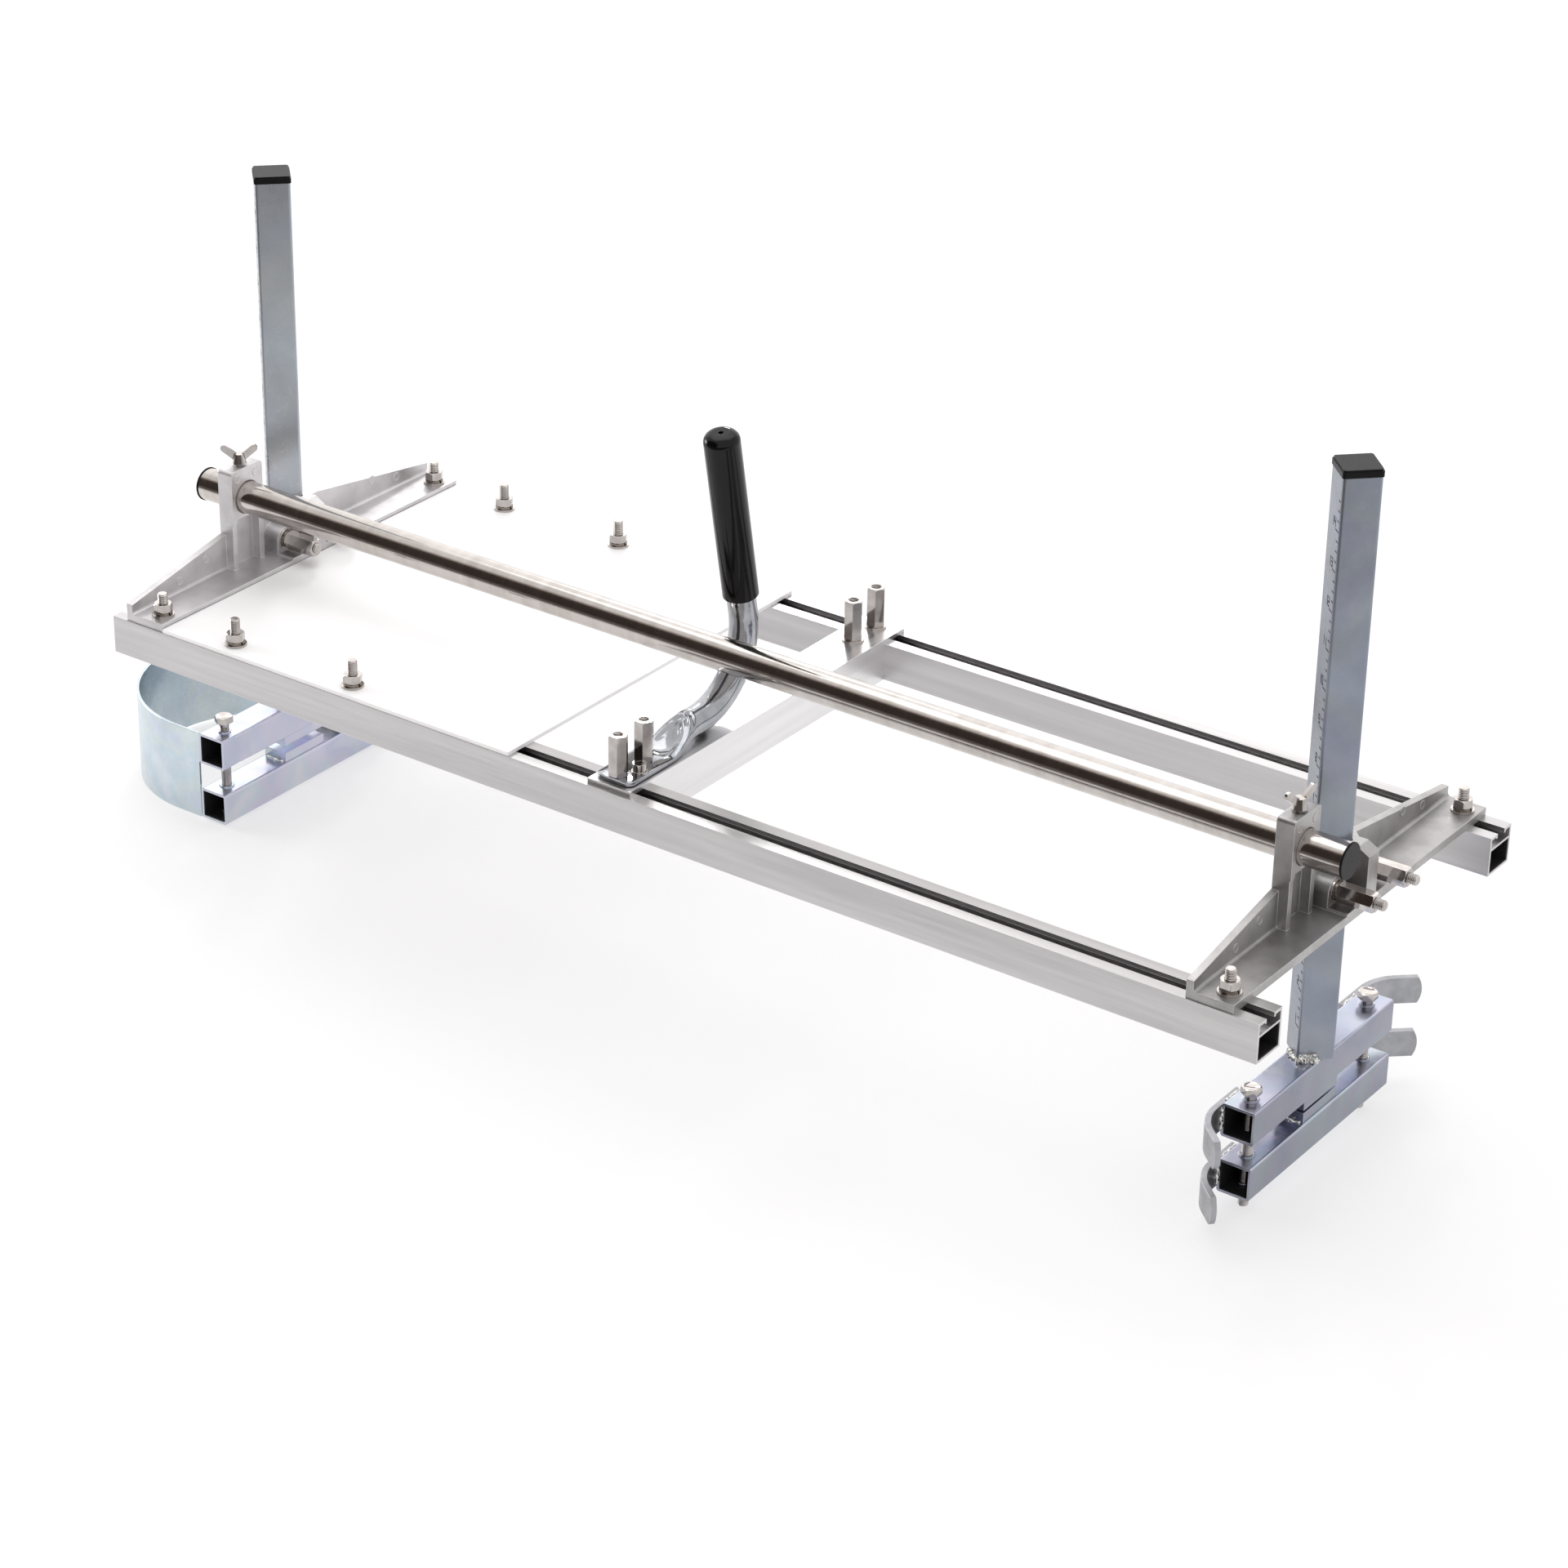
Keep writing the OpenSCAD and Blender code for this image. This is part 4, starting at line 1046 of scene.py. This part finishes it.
def pin_mark(x, y, z):
    """The witness of an ejector pin on a face that looks along X: a low lathe-turned rim round
    a disc that stands a hair proud."""
    profile = [
        (0.01, 0.16),
        (PIN_R - 0.7, 0.16),
        (PIN_R - 0.45, 0.36),
        (PIN_R, 0.3),
        (PIN_R + 0.3, -0.1),
        (0.01, -0.1),
    ]
    return [placed(capped(turned(profile, 32)[::-1]), ALONG_X, (x, y, z))]


for (end, x, body), casting in zip(ENDS, (LIT_CASTING, SHADED_CASTING)):
    marks = [(x + TOWER_FACE, y, z) for y, z in TOWER_PINS]
    marks += [(x + WEB_FACE, y, z) for y, z in WEB_PINS]
    piece(f"casting_marks_{end}", body, casting, several(pin_mark, marks))


# Scale on the posts: plain ticks and numbers

POST_HALF = 13.6
INK_THICK = 0.05
SCALE_FOOT = -70
SCALE_STEP = 28.7
TICKS_A_STEP = 4
TICK_EDGE = 11.2
LONG_TICK, SHORT_TICK, TICK_WIDE = 6.0, 3.0, 1.0
DIGIT_CELL = np.array([2.8, 3.0])
DIGIT_PITCH = 4.6
STROKE_WIDE = 0.95
# The lines that make up each digit, by the letters of the seven segments
STROKES = {
    "0": "abcdef",
    "1": "bc",
    "2": "abged",
    "3": "abgcd",
    "4": "fgbc",
    "5": "afgcd",
    "6": "afgedc",
    "7": "abc",
    "8": "abcdefg",
    "9": "abcdfg",
}
# Each segment's two ends, in cells of a digit's width and half height
SEGMENTS = {
    "a": ((0, 2), (1, 2)),
    "b": ((1, 1), (1, 2)),
    "c": ((1, 0), (1, 1)),
    "d": ((0, 0), (1, 0)),
    "e": ((0, 0), (0, 1)),
    "f": ((0, 1), (0, 2)),
    "g": ((0, 1), (1, 1)),
}


def stroke(start, stop, width, face):
    """A thin closed bar of ink between two points of a face: its corners lie half a width
    beyond the line's ends and sides, four of them on the face and four 0.05 mm above it."""
    start, stop = np.asarray(start, float), np.asarray(stop, float)
    ahead = (stop - start) / np.linalg.norm(stop - start) * width / 2
    side = np.array([-ahead[1], ahead[0]])
    plan = np.array(
        [start - ahead - side, stop + ahead - side, stop + ahead + side, start - ahead + side]
    )
    rows = [np.column_stack([plan, np.full(4, height)]) for height in (0.0, INK_THICK)]
    points, faces = capped(np.stack(rows))
    origin, right, up, out = face
    return origin + points @ np.stack([right, up, out]), faces


def post_scale(x, high):
    """Ticks and numbers up the post's face that looks at the near left, four ticks a step."""
    out = np.array([-1.0, -1.0, 0.0]) / math.sqrt(2)
    right = np.array([1.0, -1.0, 0.0]) / math.sqrt(2)
    up = np.array([0.0, 0.0, 1.0])
    face = (np.array([x, POST_Y, 0.0]) + out * POST_HALF, right, up, out)
    shapes = []
    for number, z in enumerate(np.arange(SCALE_FOOT, high, SCALE_STEP), 1):
        for part in range(TICKS_A_STEP):
            long = SHORT_TICK if part else LONG_TICK
            at = z + part * SCALE_STEP / TICKS_A_STEP
            shapes.append(stroke((TICK_EDGE - long, at), (TICK_EDGE, at), TICK_WIDE, face))
        digits = str(number)
        for place, digit in enumerate(digits, 1 - len(digits)):
            corner = np.array([1.4 + DIGIT_PITCH * place, z + 1.2])
            for name in STROKES[digit]:
                a, b = (corner + point * DIGIT_CELL for point in np.array(SEGMENTS[name]))
                shapes.append(stroke(a, b, STROKE_WIDE, face))
    return shapes


for end, x, high in (("left", LEFT_X, 320), ("right", RIGHT_X, 325)):
    piece(f"post_scale_{end}", f"post_{end}", MARKING_INK, post_scale(x, high))


# White table top. Where the camera or polished metal looks at it, it glows a little, so that it
# reads as white and still keeps the object's shadow; far away it is all glow

TABLE_GLOW = 0.55
TABLE_SPAN = 40.0
TABLE_LOW = -0.0005

white_table = bpy.data.materials.new("white_table_top")
white_table.use_nodes = True
table_tree = white_table.node_tree
table_tree.nodes.clear()
paper = put(
    table_tree,
    "BsdfPrincipled",
    {"Base Color": paint("#FDFCFD"), "Roughness": 0.9, "Specular IOR Level": 0.1},
).outputs["BSDF"]
ray = put(table_tree, "LightPath").outputs
seen = put(
    table_tree,
    "Math",
    {0: ray["Is Camera Ray"], 1: ray["Is Glossy Ray"]},
    operation="MAXIMUM",
).outputs[0]
seen = put(
    table_tree, "Math", {0: seen, 1: ray["Is Transmission Ray"]}, operation="MAXIMUM"
).outputs[0]
table_place = put(table_tree, "TexCoord").outputs["Object"]
away = put(table_tree, "VectorMath", {0: table_place}, operation="LENGTH").outputs["Value"]
whiter = put(
    table_tree,
    "MapRange",
    {"Value": away, "From Min": 1.5, "From Max": 5.0, "To Min": TABLE_GLOW},
).outputs["Result"]
share = put(table_tree, "Math", {0: seen, 1: whiter}, operation="MULTIPLY").outputs[0]
glow = put(table_tree, "Emission", {"Color": (1, 1, 1, 1), "Strength": 1.0}).outputs[0]
lit_table = put(table_tree, "MixShader", {0: share, 1: paper, 2: glow}).outputs[0]
# In front of the frame polished metal mirrors the dark room, not more white table
toward_front = put(table_tree, "SeparateXYZ", {"Vector": table_place}).outputs["Y"]
in_front = put(
    table_tree,
    "MapRange",
    {"Value": toward_front, "From Min": -0.5, "From Max": -1.2, "To Max": 0.92},
    interpolation_type="SMOOTHSTEP",
).outputs["Result"]
mirrored = put(
    table_tree, "Math", {0: ray["Is Glossy Ray"], 1: in_front}, operation="MULTIPLY"
).outputs[0]
room = put(table_tree, "Emission", {"Color": paint("#4A3E39"), "Strength": 1.0}).outputs[0]
table_face = put(table_tree, "MixShader", {0: mirrored, 1: lit_table, 2: room}).outputs[0]
put(table_tree, "OutputMaterial", {"Surface": table_face})

table_mesh = bpy.data.meshes.new("table_top")
table_corners = [
    (x * TABLE_SPAN, y * TABLE_SPAN, TABLE_LOW) for x, y in ((-1, -1), (1, -1), (1, 1), (-1, 1))
]
table_mesh.from_pydata(table_corners, [], [(0, 1, 2, 3)])
table_mesh.materials.append(white_table)
table = bpy.data.objects.new("table_top", table_mesh)
bpy.context.scene.collection.objects.link(table)


# Studio: white all round, with a warm dark patch low in front on the left, which the push bar
# mirrors as its dark band, and a brighter side behind on the left. The camera itself sees white

DARK_SIDE = (-0.52, -0.83, 0.2)
BRIGHT_SIDE = (-0.52, 0.72, 0.46)

world = bpy.data.worlds.new("studio")
world.use_nodes = True
bpy.context.scene.world = world
studio = world.node_tree
studio.nodes.clear()
heading = put(studio, "TexCoord").outputs["Generated"]
toward_dark = put(
    studio, "VectorMath", {0: heading, 1: DARK_SIDE}, operation="DOT_PRODUCT"
).outputs["Value"]
toward_bright = put(
    studio, "VectorMath", {0: heading, 1: BRIGHT_SIDE}, operation="DOT_PRODUCT"
).outputs["Value"]
open_side = put(
    studio,
    "MapRange",
    {"Value": toward_dark, "From Min": 0.89, "From Max": 0.68, "To Min": 0.05, "To Max": 0.94},
    interpolation_type="SMOOTHSTEP",
).outputs["Result"]
straight = put(studio, "LightPath").outputs["Is Camera Ray"]
white_side = put(studio, "Math", {0: open_side, 1: straight}, operation="MAXIMUM").outputs[0]
extra = put(
    studio,
    "MapRange",
    {"Value": toward_bright, "From Min": 0.6, "From Max": 0.95, "To Max": 0.5},
    interpolation_type="SMOOTHSTEP",
).outputs["Result"]
level = put(studio, "Math", {0: white_side, 1: extra}, operation="ADD").outputs[0]
hue = put(
    studio,
    "Mix",
    {0: white_side, 6: paint("#FFE0D2"), 7: (1, 1, 1, 1)},
    data_type="RGBA",
).outputs[2]
walls = put(studio, "Background", {"Color": hue, "Strength": level}).outputs["Background"]
put(studio, "OutputWorld", {"Surface": walls})


def softbox(name, place, aim, wide, deep, watts):
    """A rectangular lamp that faces a point."""
    lamp = bpy.data.lights.new(name, "AREA")
    lamp.shape = "RECTANGLE"
    lamp.size, lamp.size_y, lamp.energy = wide, deep, watts
    made = bpy.data.objects.new(name, lamp)
    made.location = place
    direction = Vector(aim) - Vector(place)
    made.rotation_euler = direction.to_track_quat("-Z", "Y").to_euler()
    bpy.context.scene.collection.objects.link(made)


softbox("overhead_softbox", (-0.3, 0.5, 2.6), (0, 0, 0.1), 2.6, 1.6, 15)
softbox("left_softbox", (-2.1, -0.45, 0.6), (-0.55, -0.05, 0.05), 0.9, 0.7, 13)
softbox("back_spot", (-1.6, 2.2, 1.7), (0, 0, 0.3), 0.3, 0.3, 9)


# Camera

scene = bpy.context.scene
lens = bpy.data.cameras.new("camera")
lens.sensor_width = 36.0
lens.lens = 99.93
lens.clip_end = 100.0
camera = bpy.data.objects.new("camera", lens)
camera.location = (1.71426, -2.32796, 1.63589)
camera.rotation_euler = [math.radians(a) for a in (62.5794, -0.8971, 35.8516)]
scene.collection.objects.link(camera)
scene.camera = camera
scene.view_settings.view_transform = "Standard"
